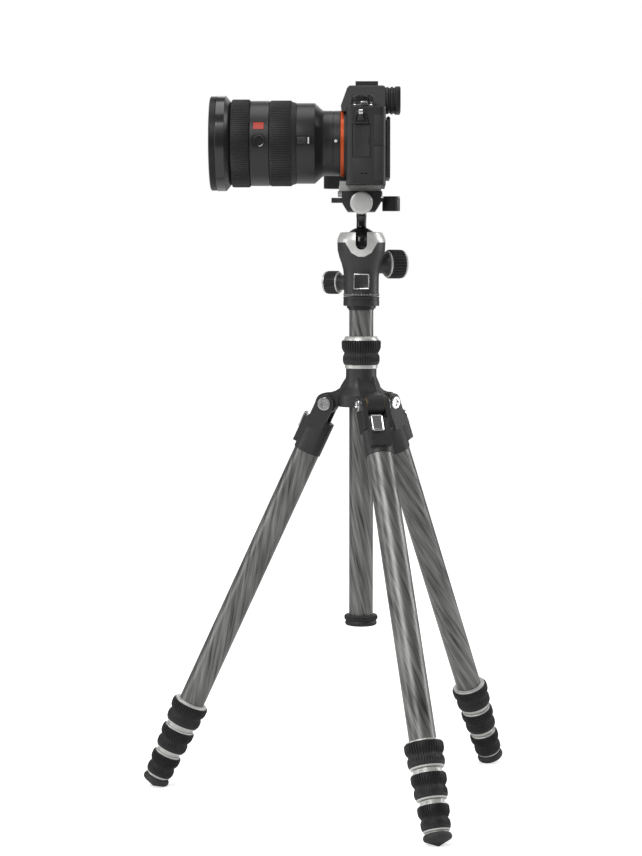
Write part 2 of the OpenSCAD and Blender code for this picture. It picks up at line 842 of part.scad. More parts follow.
module top_cover() {
    color(BLACK)
    stand()
    difference() {
        union() {
            translate([0, 0, shoulder_z - cover_t]) linear_extrude(cover_t) body_plan(0);
            intersection() {
                slab_y(-24, 24) polygon([
                    [-front_x + 3, shoulder_z - 2],
                    [-front_x - 4.4, shoulder_z - 2],
                    [-front_x - 5.2, shoulder_z + 3.3],
                    [-front_x + 0.6, hump_top - 2.2],
                    [-front_x + 2.8, hump_top],
                    [rear_x - 2.5, hump_top],
                    [rear_x - 0.6, hump_top - 1],
                    [rear_x, hump_top - 2.4],
                    [rear_x, shoulder_z - 2]
                ]);
                slab_x(-40, 40) polygon([
                    [-23, shoulder_z - 2],
                    [23, shoulder_z - 2],
                    [20.5, shoulder_z + 6],
                    [15, hump_top - 1.5],
                    [13.5, hump_top],
                    [-13.5, hump_top],
                    [-15, hump_top - 1.5],
                    [-20.5, shoulder_z + 6]
                ]);
            }
            translate([dial_x, dial_y, 0]) rod(10.4, shoulder_z - 1, shoulder_z + 2.3);
            translate([dial_x, dial_y, 0]) rod(9.4, shoulder_z + 2.2, shoulder_z + 6);
            translate([4, 34, 0]) rod(9.6, shoulder_z - 1, shoulder_z + 1.6);
            translate([-20, grip_y, 0]) rod(7.6, shoulder_z - 1, shoulder_z + 1.8);
        }
        along_lens_rod(boss_r + bond, boss_back - bond, mount_d + 20);
        // room for the finder's optics
        block([-10, -11.5, shoulder_z - cover_t - 1], [14, 11.5, hump_top - 3]);
        translate([dial_x, dial_y, 0]) rod(3 + run_gap, shoulder_z - 2, shoulder_z + 8);
        translate([4, 34, 0]) rod(3 + run_gap, shoulder_z - 2, shoulder_z + 8);
        translate([12, 57, 0]) rod(3 + run_gap, shoulder_z - 2, shoulder_z + 8);
        translate([-20, grip_y, 0]) rod(5.2 + run_gap, shoulder_z - cover_t - 1, shoulder_z + 8);
    }
    // hot shoe: a plate with two folded rails
    color(SILVER)
    stand()
    difference() {
        block([-5.6, -10.6, hump_top], [15.2, 10.6, hump_top + 4.1]);
        block([-7, -9.3, hump_top + 1], [14, 9.3, hump_top + 3]);
        block([-7, -6.25, hump_top + 2], [14, 6.25, hump_top + 5]);
    }
}

module lens_mount() {
    color([0.85, 0.25, 0.1])
    along_lens()
    pipe(30.5, 25, mount_d, mount_d + mount_ring_t - 0.1);
    color(SILVER)
    along_lens()
    pipe(25, 22, mount_d, mount_d + mount_ring_t - 0.6);
}

module camera_internals() {
    stand() {
        // shutter and sensor unit behind the mount
        color([0.2, 0.3, 0.25])
        difference() {
            block([-front_x + body_wall + 0.3, -27, axis_z - 21], [8, 27, axis_z + 20]);
            block([-front_x + body_wall, -19, axis_z - 13], [3, 19, axis_z + 13]);
        }
        // main board
        color([0.1, 0.35, 0.15])
        block([8.3, -48, base_z + body_wall + 0.3], [10, 44, shoulder_z - cover_t - 2]);
        // battery in the grip
        color([0.15, 0.15, 0.16])
        block([-24, grip_y - 6, base_z + body_wall + 0.3], [7.5, grip_y + 5, base_z + 52]);
        // finder's prism block in the hump
        color([0.5, 0.55, 0.6])
        block([-9.7, -11.2, shoulder_z - 1], [13.7, 11.2, hump_top - 3.3]);
    }
}

module monitor() {
    low = base_z + 6;
    knuckle_r = (monitor_t - face_gap) / 2;
    hinge_x = rear_x + face_gap + knuckle_r;
    color(BLACK)
    stand()
    difference() {
        slab_y(-50, 28) {
            translate([rear_x + face_gap, low]) square([monitor_t - face_gap, monitor_hinge_z - low]);
            translate([hinge_x, monitor_hinge_z]) circle(r = knuckle_r);
        }
        block([rear_x + monitor_t - 0.4, -46, low + 5], [rear_x + 10, 24, monitor_hinge_z - 3]);
        slab_y(-60, 60) translate([hinge_x, monitor_hinge_z]) circle(r = 0.8);
    }
}

module eyecup()
    color(RUBBER)
    stand()
    difference() {
        slab_x(rear_x + 0.1, rear_x + 13.8) rounded([-19, base_z + 66.4], [19, base_z + 90.8], 8);
        slab_x(rear_x + 4, rear_x + 18) rounded([-13, base_z + 70.8], [13, base_z + 86.4], 4);
    }

module knurled_dial(r, h, shaft) {
    revolve([
        [0, 0],
        [r - 0.4, 0],
        [r, 0.5],
        [r, h - 0.7],
        [r - 0.7, h],
        [0, h]
    ]);
    rod(3, -shaft, eps);
}

module drive_dial()
    color(BLACK) stand() translate([dial_x, dial_y, shoulder_z + 6.2]) knurled_dial(10, 5.4, 7);

module mode_dial()
    color(BLACK) stand() translate([4, 34, shoulder_z + 1.8]) knurled_dial(9.2, 7, 3);

module exposure_dial()
    color(BLACK) stand() translate([12, 57, shoulder_z + 0.2]) knurled_dial(7.6, 5, 2);

module shutter_button()
    color(SILVER)
    stand()
    translate([-20, grip_y, 0])
    revolve([
        [0, shoulder_z - 2],
        [5.2, shoulder_z - 2],
        [5.2, shoulder_z + 2.6],
        [4.2, shoulder_z + 3.6],
        [0, shoulder_z + 3.4]
    ]);

module terminal_door()
    color(BLACK)
    stand()
    difference() {
        union() {
            block([-7, -body_left - 0.1, base_z + 24], [8, -body_left + 1.4, base_z + 53.6]);
            translate([-7, -body_left + 0.7, 0]) rod(0.8, base_z + 24, base_z + 53.6);
        }
        translate([-7, -body_left + 0.7, 0]) rod(0.35, base_z + 23, base_z + 56);
    }

// bent wire triangle that hangs from a lug and swings about X
module strap_ring(side, lug) {
    y = side * (lug + 2.7);
    top = lug_z - 0.7;
    drop = 9.4;
    color(SILVER)
    stand()
    translate([lug_x, y, top]) {
        translate([-3.2, 0, 0]) rotate([0, 90, 0]) cylinder(r = ring_wire, h = 6.4);
        translate([-6, 0, -drop]) rotate([0, 90, 0]) cylinder(r = ring_wire, h = 12);
        for (s = [-1, 1]) {
            translate([s * 3.2, 0, 0]) sphere(r = ring_wire);
            translate([s * 6, 0, -drop]) sphere(r = ring_wire);
            translate([s * 6, 0, -drop]) rotate([0, -s * atan(2.8 / drop), 0])
            cylinder(r = ring_wire, h = norm([2.8, drop]));
        }
    }
}

module strap_ring_left() strap_ring(-1, body_left);
module strap_ring_right() strap_ring(1, body_right);

// ---- lens ----

module lens_barrel()
    color(BLACK)
    along_lens()
    difference() {
        revolve([
            [20.5, mount_d + 1],
            [21.8, mount_d + 1],
            [21.8, lens_d],
            [lens_mount_r - 0.4, lens_d],
            [lens_mount_r, lens_d + 1],
            [lens_mount_r, lens_d + 16],
            [lens_rear_r, lens_d + 23.6],
            [lens_rear_r, zoom_d - face_gap],
            [journal_r, zoom_d - face_gap],
            [journal_r, mid_d],
            [lens_mid_r, mid_d],
            [lens_mid_r, focus_d - face_gap],
            [journal_r, focus_d - face_gap],
            [journal_r, focus_d + focus_l],
            [sleeve_r, focus_d + focus_l],
            [sleeve_r, lens_d + 26],
            [20.5, lens_d + 18]
        ]);
        // bores of the hold button and the focus switch
        rotate([90, 0, 0]) translate([0.4, button_d, 0]) rod(button_r + run_gap, sleeve_r + 1, 60);
        rotate([90, 0, 0]) translate([0.4, button_d, 0]) rod(6.5, lens_mid_r - 1, 60);
        block([-2.8, -60, switch_d - 7.2], [4.2, -lens_rear_r + 1.6, switch_d + 7.2]);
    }

module focus_ring()
    color(RUBBER)
    along_lens()
    revolve([
        [journal_r + run_gap, focus_d],
        [focus_ring_r - 0.8, focus_d],
        [focus_ring_r, focus_d + 0.8],
        [focus_ring_r, focus_d + focus_l - 1],
        [focus_ring_r - 0.8, focus_d + focus_l],
        [journal_r + run_gap, focus_d + focus_l]
    ]);

module zoom_ring()
    color(RUBBER)
    along_lens()
    revolve([
        [journal_r + run_gap, zoom_d],
        [lens_rear_r + 0.2, zoom_d],
        [zoom_ring_r, zoom_d + 4.4],
        [zoom_ring_r, zoom_d + zoom_l - 0.6],
        [zoom_ring_r - 0.5, zoom_d + zoom_l],
        [journal_r + run_gap, zoom_d + zoom_l]
    ]);

module lens_front()
    color(BLACK)
    along_lens()
    revolve([
        [sleeve_r - 2, lens_d + 32],
        [sleeve_r - run_gap, lens_d + 32],
        [sleeve_r - run_gap, front_d],
        [37.5, front_d],
        [lens_front_r, front_d + 5.2],
        [lens_front_r, nose_d - 5.8],
        [lens_front_r - 0.7, nose_d - 5],
        [lens_front_r - 0.7, nose_d - 4.4],
        [lens_front_r - 0.4, nose_d - 4],
        [lens_front_r - 1, nose_d],
        [filter_r, nose_d],
        [filter_r, nose_d - 4.2],
        [filter_r - 1.4, nose_d - 5.4],
        [sleeve_r + 1, nose_d - 9],
        [sleeve_r + 1, nose_d - 13],
        [sleeve_r - 2, nose_d - 13]
    ]);

module lens_glass()
    color([0.35, 0.25, 0.5, 0.5])
    along_lens() {
        // front element
        intersection() {
            rod(sleeve_r + 1, nose_d - 12.8, nose_d - 1);
            translate([0, 0, nose_d - 6 - 90]) sphere(r = 90);
        }
        // inner group
        difference() {
            rod(sleeve_r - 2.02, lens_d + 60, lens_d + 68);
            translate([0, 0, lens_d + 68 + 70]) sphere(r = 75);
        }
        difference() {
            rod(sleeve_r - 2.02, lens_d + 36, lens_d + 43);
            translate([0, 0, lens_d + 43 + 56]) sphere(r = 60);
        }
    }

module hold_button()
    color(BLACK)
    along_lens()
    rotate([90, 0, 0])
    translate([0.4, button_d, 0])
    revolve([
        [0, sleeve_r + 2.2],
        [button_r, sleeve_r + 2.2],
        [button_r, lens_mid_r - 0.5],
        [button_r - 0.7, lens_mid_r],
        [0, lens_mid_r - 0.4]
    ]);

module focus_switch()
    color(BLACK)
    along_lens()
    block([-2.6, -lens_rear_r - 0.2, switch_d - 4.4], [4, -lens_rear_r + 1.3, switch_d + 7]);

apex();
pivot_hardware();
column_lock();
column_tube();
column_end_cap();
head_base();
head_body();
head_trim();
ball();
ball_stem();
ball_lock_knob();
pan_lock_knob();
clamp_base();
clamp_jaw();
clamp_knob();
release_plate();
camera_body();
top_cover();
lens_mount();
camera_internals();
monitor();
eyecup();
drive_dial();
mode_dial();
exposure_dial();
shutter_button();
terminal_door();
strap_ring_left();
strap_ring_right();
lens_barrel();
focus_ring();
zoom_ring();
lens_front();
lens_glass();
hold_button();
focus_switch();
leg_upper(1);  // leg_1_upper
leg_latch(1);  // leg_1_latch
leg_lock(1, 1);  // leg_1_lock_1
leg_lock(1, 2);  // leg_1_lock_2
leg_lock(1, 3);  // leg_1_lock_3
leg_section(1, 2);  // leg_1_section_2
leg_section(1, 3);  // leg_1_section_3
leg_section(1, 4);  // leg_1_section_4
leg_upper(2);  // leg_2_upper
leg_latch(2);  // leg_2_latch
leg_lock(2, 1);  // leg_2_lock_1
leg_lock(2, 2);  // leg_2_lock_2
leg_lock(2, 3);  // leg_2_lock_3
leg_section(2, 2);  // leg_2_section_2
leg_section(2, 3);  // leg_2_section_3
leg_section(2, 4);  // leg_2_section_4
leg_upper(3);  // leg_3_upper
leg_latch(3);  // leg_3_latch
leg_lock(3, 1);  // leg_3_lock_1
leg_lock(3, 2);  // leg_3_lock_2
leg_lock(3, 3);  // leg_3_lock_3
leg_section(3, 2);  // leg_3_section_2
leg_section(3, 3);  // leg_3_section_3
leg_section(3, 4);  // leg_3_section_4
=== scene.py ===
# A mirrorless camera with a zoom lens on a small carbon tripod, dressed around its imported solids.
import math

import bmesh
import bpy
from mathutils import Matrix, Vector
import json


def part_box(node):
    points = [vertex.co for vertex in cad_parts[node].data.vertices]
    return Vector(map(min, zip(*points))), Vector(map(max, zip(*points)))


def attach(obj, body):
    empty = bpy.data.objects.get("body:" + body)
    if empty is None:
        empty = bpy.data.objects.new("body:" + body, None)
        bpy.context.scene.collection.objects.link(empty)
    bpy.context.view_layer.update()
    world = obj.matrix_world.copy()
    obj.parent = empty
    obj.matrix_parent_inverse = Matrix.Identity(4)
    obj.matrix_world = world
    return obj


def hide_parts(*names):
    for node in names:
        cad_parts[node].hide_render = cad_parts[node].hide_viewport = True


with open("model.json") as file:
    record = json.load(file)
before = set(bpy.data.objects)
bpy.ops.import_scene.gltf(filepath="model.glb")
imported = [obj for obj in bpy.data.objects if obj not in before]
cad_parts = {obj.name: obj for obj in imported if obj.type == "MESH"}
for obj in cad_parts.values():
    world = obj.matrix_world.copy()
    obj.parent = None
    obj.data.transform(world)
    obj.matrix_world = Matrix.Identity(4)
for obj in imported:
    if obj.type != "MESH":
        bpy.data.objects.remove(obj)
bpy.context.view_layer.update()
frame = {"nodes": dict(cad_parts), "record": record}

# ---- View ----
# A long lens stands level with the ball head, square to the side of the camera,
# and looks down by less than four degrees.
joints = {joint["name"]: joint for joint in frame["record"]["behaviour"]["joints"]}
column_axis = Vector(joints["pan"]["pos_m"][:2] + [0])
pivot_z = joints["leg_1_spread"]["pos_m"][2]
view_distance = 2.124
view_height = pivot_z + 0.1199

lens_data = bpy.data.cameras.new("view")
lens_data.sensor_fit = "VERTICAL"
lens_data.sensor_height = 36
lens_data.lens = 96
view = bpy.data.objects.new("view", lens_data)
view.location = column_axis + Vector((0, -view_distance, view_height))
view.rotation_euler = (math.radians(90 - 3.85), 0, math.radians(1.01))
bpy.context.collection.objects.link(view)
bpy.context.scene.camera = view
bpy.context.scene.view_settings.view_transform = "Standard"

# ---- Studio ----
# A pale floor that runs out to white. Soft boxes stand overhead, at the left front as the key,
# on both sides and behind.


def lamp(name, place, aim, size, power):
    """A square soft box at one point, aimed at another."""
    data = bpy.data.lights.new(name, "AREA")
    data.shape = "RECTANGLE"
    data.size, data.size_y = size
    data.energy = power
    box = bpy.data.objects.new(name, data)
    box.location = place
    box.rotation_euler = (Vector(aim) - Vector(place)).to_track_quat("-Z", "Y").to_euler()
    bpy.context.collection.objects.link(box)


lamp("overhead", (-0.1, 0.2, 2.5), (0, 0, 0.5), (1.6, 1.4), 14)
lamp("key_box", (-1.0, -1.9, 2.1), (0, 0, 0.5), (1.3, 1.3), 40)
lamp("left_box", (-2.2, -0.3, 1.1), (0, 0, 0.5), (0.7, 1.8), 12)
lamp("right_box", (2.0, 0.6, 1.1), (0, 0, 0.5), (0.6, 1.8), 20)
lamp("back_box", (0.3, 2.4, 1.5), (0, 0, 0.5), (2.0, 1.4), 10)

world = bpy.data.worlds.new("studio")
world.use_nodes = True
sky = world.node_tree.nodes
seen = sky.new("ShaderNodeLightPath")
level = sky.new("ShaderNodeMapRange")
level.inputs["To Min"].default_value = 0.14
level.inputs["To Max"].default_value = 1.0
world.node_tree.links.new(seen.outputs["Is Camera Ray"], level.inputs["Value"])
world.node_tree.links.new(level.outputs["Result"], sky["Background"].inputs["Strength"])
sky["Background"].inputs["Color"].default_value = (1, 1, 1, 1)
bpy.context.scene.world = world

floor_form = bmesh.new()
bmesh.ops.create_circle(floor_form, cap_ends=True, segments=96, radius=14)
floor_mesh = bpy.data.meshes.new("floor")
floor_form.to_mesh(floor_mesh)
floor_form.free()
floor = bpy.data.objects.new("floor", floor_mesh)
bpy.context.collection.objects.link(floor)
floor_white = bpy.data.materials.new("floor_white")
floor_white.use_nodes = True
white = floor_white.node_tree.nodes["Principled BSDF"].inputs
white["Base Color"].default_value = (0.93, 0.93, 0.93, 1)
white["Roughness"].default_value = 0.95
white["Specular IOR Level"].default_value = 0.0
white["Emission Strength"].default_value = 1.0
reach = floor_white.node_tree.nodes.new("ShaderNodeTexCoord")
length = floor_white.node_tree.nodes.new("ShaderNodeVectorMath")
length.operation = "LENGTH"
glow = floor_white.node_tree.nodes.new("ShaderNodeMapRange")
for name, value in (("From Min", 0.4), ("From Max", 3.2), ("To Min", 0.6), ("To Max", 1.0)):
    glow.inputs[name].default_value = value
floor_white.node_tree.links.new(reach.outputs["Object"], length.inputs[0])
floor_white.node_tree.links.new(length.outputs["Value"], glow.inputs["Value"])
to_view = floor_white.node_tree.nodes.new("ShaderNodeLightPath")
shown = floor_white.node_tree.nodes.new("ShaderNodeMath")
shown.operation = "MULTIPLY"
floor_white.node_tree.links.new(glow.outputs["Result"], shown.inputs[0])
floor_white.node_tree.links.new(to_view.outputs["Is Camera Ray"], shown.inputs[1])
floor_white.node_tree.links.new(shown.outputs["Value"], white["Emission Color"])
floor_mesh.materials.append(floor_white)

# ---- Spider ----
# The casting that the legs turn on: charcoal powder coat over aluminium,
# with its edges broken by about a millimetre.


class Signal:
    """A value inside a finish, so that shader maths reads as sums."""

    def __init__(self, finish, socket):
        self.finish = finish
        self.socket = socket

    def maths(self, operation, *values):
        return self.finish.node("ShaderNodeMath", {"operation": operation}, *values)

    def __add__(self, other):
        return self.maths("ADD", self, other)

    def __sub__(self, other):
        return self.maths("SUBTRACT", self, other)

    def __rsub__(self, other):
        return self.maths("SUBTRACT", other, self)

    def __mul__(self, other):
        return self.maths("MULTIPLY", self, other)

    def __gt__(self, other):
        return self.maths("GREATER_THAN", self, other)

    def __lt__(self, other):
        return self.maths("LESS_THAN", self, other)

    def __mod__(self, other):
        return self.maths("FLOORED_MODULO", self, other)

    __radd__ = __add__
    __rmul__ = __mul__


class Finish:
    """A surface of the real thing, with the shader that shows it. Lengths are in millimetres."""

    def __init__(self, name, colour, roughness, **constants):
        self.material = bpy.data.materials.new(name)
        self.material.use_nodes = True
        self.nodes = self.material.node_tree.nodes
        self.links = self.material.node_tree.links
        self.shader = self.nodes["Principled BSDF"]
        self.set("Base Color", colour)
        self.set("Roughness", roughness)
        for socket, value in constants.items():
            self.set(socket.replace("_", " "), value)

    def set(self, socket, value):
        self.put(self.shader.inputs[socket], value)
        return self

    def put(self, socket, value):
        if isinstance(value, Signal):
            self.links.new(value.socket, socket)
        elif hasattr(value, "__len__") and socket.type == "RGBA" and len(value) == 3:
            socket.default_value = (*value, 1)
        else:
            socket.default_value = value

    def node(self, kind, settings, *values, out=0):
        made = self.nodes.new(kind)
        for key, value in settings.items():
            if key == "stops":
                for stop, (place, colour) in zip(made.color_ramp.elements, value):
                    stop.position, stop.color = place, (*colour, 1)
            else:
                setattr(made, key, value)
        for socket, value in zip(made.inputs, values):
            if value is not None:
                self.put(socket, value)
        return Signal(self, made.outputs[out])

    def place(self, stretch=(1, 1, 1), turn=(0, 0, 0)):
        """Where a point of the piece is in its own maker's frame, stretched and turned."""
        own = self.node("ShaderNodeAttribute", {"attribute_name": "local"}, out=1)
        return self.node("ShaderNodeMapping", {}, own, (0, 0, 0), turn, stretch)

    def along(self, axis):
        """One coordinate of the maker's frame."""
        own = self.node("ShaderNodeAttribute", {"attribute_name": "local"}, out=1)
        return self.node("ShaderNodeSeparateXYZ", {}, own, out="XYZ".index(axis))

    def noise(self, scale, detail=2, place=None):
        return self.node("ShaderNodeTexNoise", {}, place or self.place(), None, scale, detail)

    def mix(self, share, first, second):
        made = self.nodes.new("ShaderNodeMix")
        made.data_type = "RGBA"
        for index, value in ((0, share), (6, first), (7, second)):
            self.put(made.inputs[index], value)
        return Signal(self, made.outputs[2])

    def raised(self, height, by):
        """Lifts the surface by a number of millimetres where the height is 1."""
        made = self.nodes.new("ShaderNodeBump")
        made.inputs["Distance"].default_value = by / 1000
        self.put(made.inputs["Height"], height)
        return self.set("Normal", Signal(self, made.outputs[0]))

    def worn(self, colour, shade, roughness, spread, scale=0.35):
        """Slow changes of colour and gloss, as handling and dust leave them."""
        cloud = self.noise(scale, 4)
        self.set("Base Color", self.mix(cloud, colour, shade))
        return self.set("Roughness", cloud * spread + (roughness - spread / 2))


def mm(x, y, z):
    return Vector((x, y, z)) / 1000


def piece(name, form, place, finishes, body, stands_for=(), edge=0.0, crease=32):
    """Turns a form in millimetres into a finished piece at its place, riding on its body."""
    bmesh.ops.remove_doubles(form, verts=form.verts, dist=1e-4)
    bmesh.ops.recalc_face_normals(form, faces=form.faces)
    local = form.verts.layers.float_vector.new("local")
    for vert in form.verts:
        vert[local] = vert.co
    form.transform(place @ Matrix.Scale(0.001, 4))
    mesh = bpy.data.meshes.new(name)
    form.to_mesh(mesh)
    form.free()
    mesh.shade_smooth()
    mesh.set_sharp_from_angle(angle=math.radians(crease))
    for finish in finishes:
        mesh.materials.append(finish.material)
    made = bpy.data.objects.new(name, mesh)
    bpy.context.collection.objects.link(made)
    if edge:
        soft = made.modifiers.new("edge", "BEVEL")
        soft.width = edge / 1000
        soft.segments = 2
        soft.limit_method = "ANGLE"
        soft.angle_limit = math.radians(crease)
        soft.use_clamp_overlap = True
    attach(made, body)
    if stands_for:
        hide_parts(*stands_for)
    return made


def carried(node, origin, finish_of=None, keep=None):
    """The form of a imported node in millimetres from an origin, its flat faces joined up again."""
    form = bmesh.new()
    form.from_mesh(frame["nodes"][node].data)
    form.transform(origin.inverted())
    form.transform(Matrix.Scale(1000, 4))
    bmesh.ops.remove_doubles(form, verts=form.verts, dist=2e-3)
    bmesh.ops.dissolve_limit(form, angle_limit=math.radians(0.6), verts=form.verts, edges=form.edges)
    if keep:
        drop_shells(form, keep)
    for face in form.faces:
        face.material_index = finish_of(face) if finish_of else 0
    return form


def drop_shells(form, keep):
    """Deletes each closed shell whose points don't satisfy keep."""
    left = set(form.verts)
    doomed = []
    while left:
        shell, edge = set(), [left.pop()]
        while edge:
            vert = edge.pop()
            shell.add(vert)
            for link in vert.link_edges:
                other = link.other_vert(vert)
                if other in left:
                    left.discard(other)
                    edge.append(other)
        if not keep([vert.co for vert in shell]):
            doomed += shell
    bmesh.ops.delete(form, geom=doomed, context="VERTS")


casting = Finish("charcoal_powder_coat", (0.03, 0.03, 0.031), 0.48, Specular_IOR_Level=0.5)
casting.worn((0.025, 0.025, 0.026), (0.034, 0.034, 0.035), 0.46, 0.1)
casting.raised(casting.noise(4.5, 3), 0.03)

on_column = Matrix.Translation(column_axis)
piece(
    "spider", carried("apex", on_column), on_column, [casting], "spider", ["apex"],
    edge=0.8,
)

# ---- Pivot bolts ----
# Each leg turns on a bright socket-headed bolt between two brass washers.
bright_steel = Finish("bright_steel", (0.72, 0.72, 0.72), 0.24, Metallic=1.0)
bright_steel.worn((0.7, 0.7, 0.7), (0.78, 0.78, 0.77), 0.25, 0.14, 0.8)
brass = Finish("brass", (0.72, 0.52, 0.22), 0.3, Metallic=1.0)
brass.worn((0.7, 0.5, 0.2), (0.78, 0.6, 0.3), 0.3, 0.1)


def turned(form, outline, steps=96, at=None, finish=0, ring=False):
    """Spins an outline of radii and heights about Z. A ring outline closes on itself."""
    points = [form.verts.new((radius, 0, height)) for radius, height in outline]
    pairs = list(zip(points, points[1:] + points[:1])) if ring else list(zip(points, points[1:]))
    edges = [form.edges.new(pair) for pair in pairs]
    before = set(form.faces)
    bmesh.ops.spin(
        form, geom=points + edges, cent=(0, 0, 0), axis=(0, 0, 1), angle=math.tau, steps=steps, use_merge=True
    )
    faces = [face for face in form.faces if face not in before]
    verts = list({vert for face in faces for vert in face.verts})
    for face in faces:
        face.material_index = finish
    on_axis = [vert for vert in verts if vert.co.xy.length < 1e-5]
    bmesh.ops.remove_doubles(form, verts=on_axis, dist=1e-3)
    verts = [vert for vert in verts if vert.is_valid]
    if at:
        bmesh.ops.transform(form, matrix=at, verts=verts)
    return verts


def ribbed(verts, count, depth, low, high, least=0.0, share=0.5):
    """Sinks a groove between each rib and the next, on the points between two heights."""
    for vert in verts:
        radius = vert.co.xy.length
        if low <= vert.co.z <= high and radius > least:
            step = (math.atan2(vert.co.y, vert.co.x) / math.tau * count + 0.125) % 1
            if step > share:
                vert.co.xy *= (radius - depth) / radius


def leg_frame(leg):
    """X points out of the leg, Z down its tubes, from the pivot."""
    joint = joints[f"leg_{leg}_spread"]
    down = Vector(joints[f"leg_{leg}_extend_2"]["axis"])
    out = Vector(joints[f"leg_{leg}_latch_pull"]["axis"])
    turn = Matrix((out, down.cross(out), down)).transposed().to_4x4()
    return Matrix.Translation(Vector(joint["pos_m"]) - out * 0.0015) @ turn


bolts = bmesh.new()
bolt_face = 13.7
bolt_head = [(0, 0), (6, 0), (6, 1.7), (5.4, 2.2), (3.2, 2.2), (2.5, 1.1), (0, 1.1)]
for leg in (1, 2, 3):
    pivot = on_column.inverted() @ leg_frame(leg)
    pivot.translation *= 1000
    pivot = pivot @ Matrix.Translation((1.5, 0, 0))
    for side in (-1, 1):
        across = pivot @ Matrix.Rotation(-side * math.pi / 2, 4, "X")
        turned(bolts, bolt_head, 48, across @ Matrix.Translation((0, 0, bolt_face)))
        turned(bolts, [(3.1, 8.05), (8.4, 8.05), (8.4, 8.85), (3.1, 8.85)], 48, across, 1, ring=True)
    shank = pivot @ Matrix.Rotation(math.pi / 2, 4, "X")
    turned(bolts, [(0, -bolt_face), (3, -bolt_face), (3, bolt_face), (0, bolt_face)], 32, shank)
piece("pivot_bolts", bolts, on_column, [bright_steel, brass], "spider", ["pivot_hardware"])

# ---- Legs ----
# Carbon tubes of 24.3, 20.9, 17.5 and 14.1 mm slide in each other. The upper one is bonded
# into a casting with two ears, and each lower end has a twist lock with a ribbed rubber grip.
rubber = Finish("ribbed_rubber", (0.018, 0.018, 0.019), 0.72)
rubber.worn((0.011, 0.011, 0.012), (0.02, 0.02, 0.021), 0.54, 0.14, 0.25)
rubber.raised(rubber.noise(6, 2), 0.02)

carbon = Finish("carbon_tube", (0.1, 0.1, 0.097), 0.36, Metallic=0.5, Coat_Weight=0.2, Coat_Roughness=0.3)
round_tube = carbon.node(
    "ShaderNodeMath", {"operation": "ARCTAN2"}, carbon.along("Y"), carbon.along("X"),
) * 11
down_tube = carbon.along("Z")


def fibres(slant, wide, long, seed):
    """Long streaks of fibre wound round the tube at a slant."""
    across, along = math.cos(slant), math.sin(slant)
    lie = carbon.node(
        "ShaderNodeCombineXYZ", {}, (round_tube * across + down_tube * along) * wide,
        (down_tube * across - round_tube * along) * long, seed,
    )
    return (carbon.noise(1.0, 2, lie) - 0.5) * 2.8 + 0.5


wound = fibres(0.24, 0.34, 0.02, 3.0) * 0.65 + fibres(0.24, 1.1, 0.03, 8.0) * 0.35
carbon.set("Base Color", carbon.mix(wound, (0.03, 0.03, 0.029), (0.32, 0.32, 0.31)))
carbon.set("Roughness", wound * 0.14 + 0.32)

anodised = Finish("pale_anodised", (0.7, 0.7, 0.68), 0.34, Metallic=0.45)
anodised.worn((0.66, 0.66, 0.64), (0.76, 0.76, 0.74), 0.36, 0.1, 0.5)
anodised.raised(anodised.noise(7, 2), 0.012)

tube_radii = (12.15, 10.45, 8.75, 7.05)
lock_tops = (316, 343.6, 371.2)
lock_height = 24
thread_length = 14


def tube(form, radius, top, end):
    turned(form, [(radius - 1.2, top), (radius, top), (radius, end), (radius - 1.2, end)], 96, ring=True)


def thread_band(form, radius, top, end, finish):
    """Fine threads on a bright collar."""
    outline = [(radius - 1.2, top)]
    turns = int((end - top) / 1.2)
    for turn in range(turns):
        outline += [(radius - 0.25, top + 1.2 * turn), (radius, top + 1.2 * turn + 0.3)]
        outline += [(radius, top + 1.2 * turn + 0.7), (radius - 0.25, top + 1.2 * turn + 1.0)]
    outline += [(radius - 0.25, end), (radius - 1.2, end)]
    turned(form, outline, 72, finish=finish, ring=True)


def grip(form, top, height, bore, high, low, ribs, finish=0, flip=False):
    """Rubber sleeve with deep ribs on its upper ridge and fine ones on its lower ridge."""
    outline = [
        (bore, 0.0), (high - 1.9, 0.0), (high - 0.8, 0.25), (high - 0.25, 0.9), (high, 2.0),
        (high, 0.28 * height), (high - 0.35, 0.35 * height), (high - 1.3, 0.44 * height),
        (low - 1.5, 0.53 * height), (low - 0.7, 0.6 * height), (low - 0.1, 0.66 * height),
        (low, 0.72 * height),
        (low, 0.84 * height), (low - 0.3, 0.91 * height), (low - 1.3, height), (bore, height),
    ]
    verts = turned(form, outline, ribs * 4, finish=finish, ring=True)
    ribbed(verts, ribs, 1.25, 0.8, 0.46 * height, bore + 1, 0.62)
    ribbed(verts, ribs, 0.7, 0.5 * height, 0.9 * height, bore + 0.5, 0.62)
    turn = Matrix.Rotation(math.pi, 4, "X") if flip else Matrix()
    bmesh.ops.transform(form, matrix=Matrix.Translation((0, 0, top)) @ turn, verts=verts)


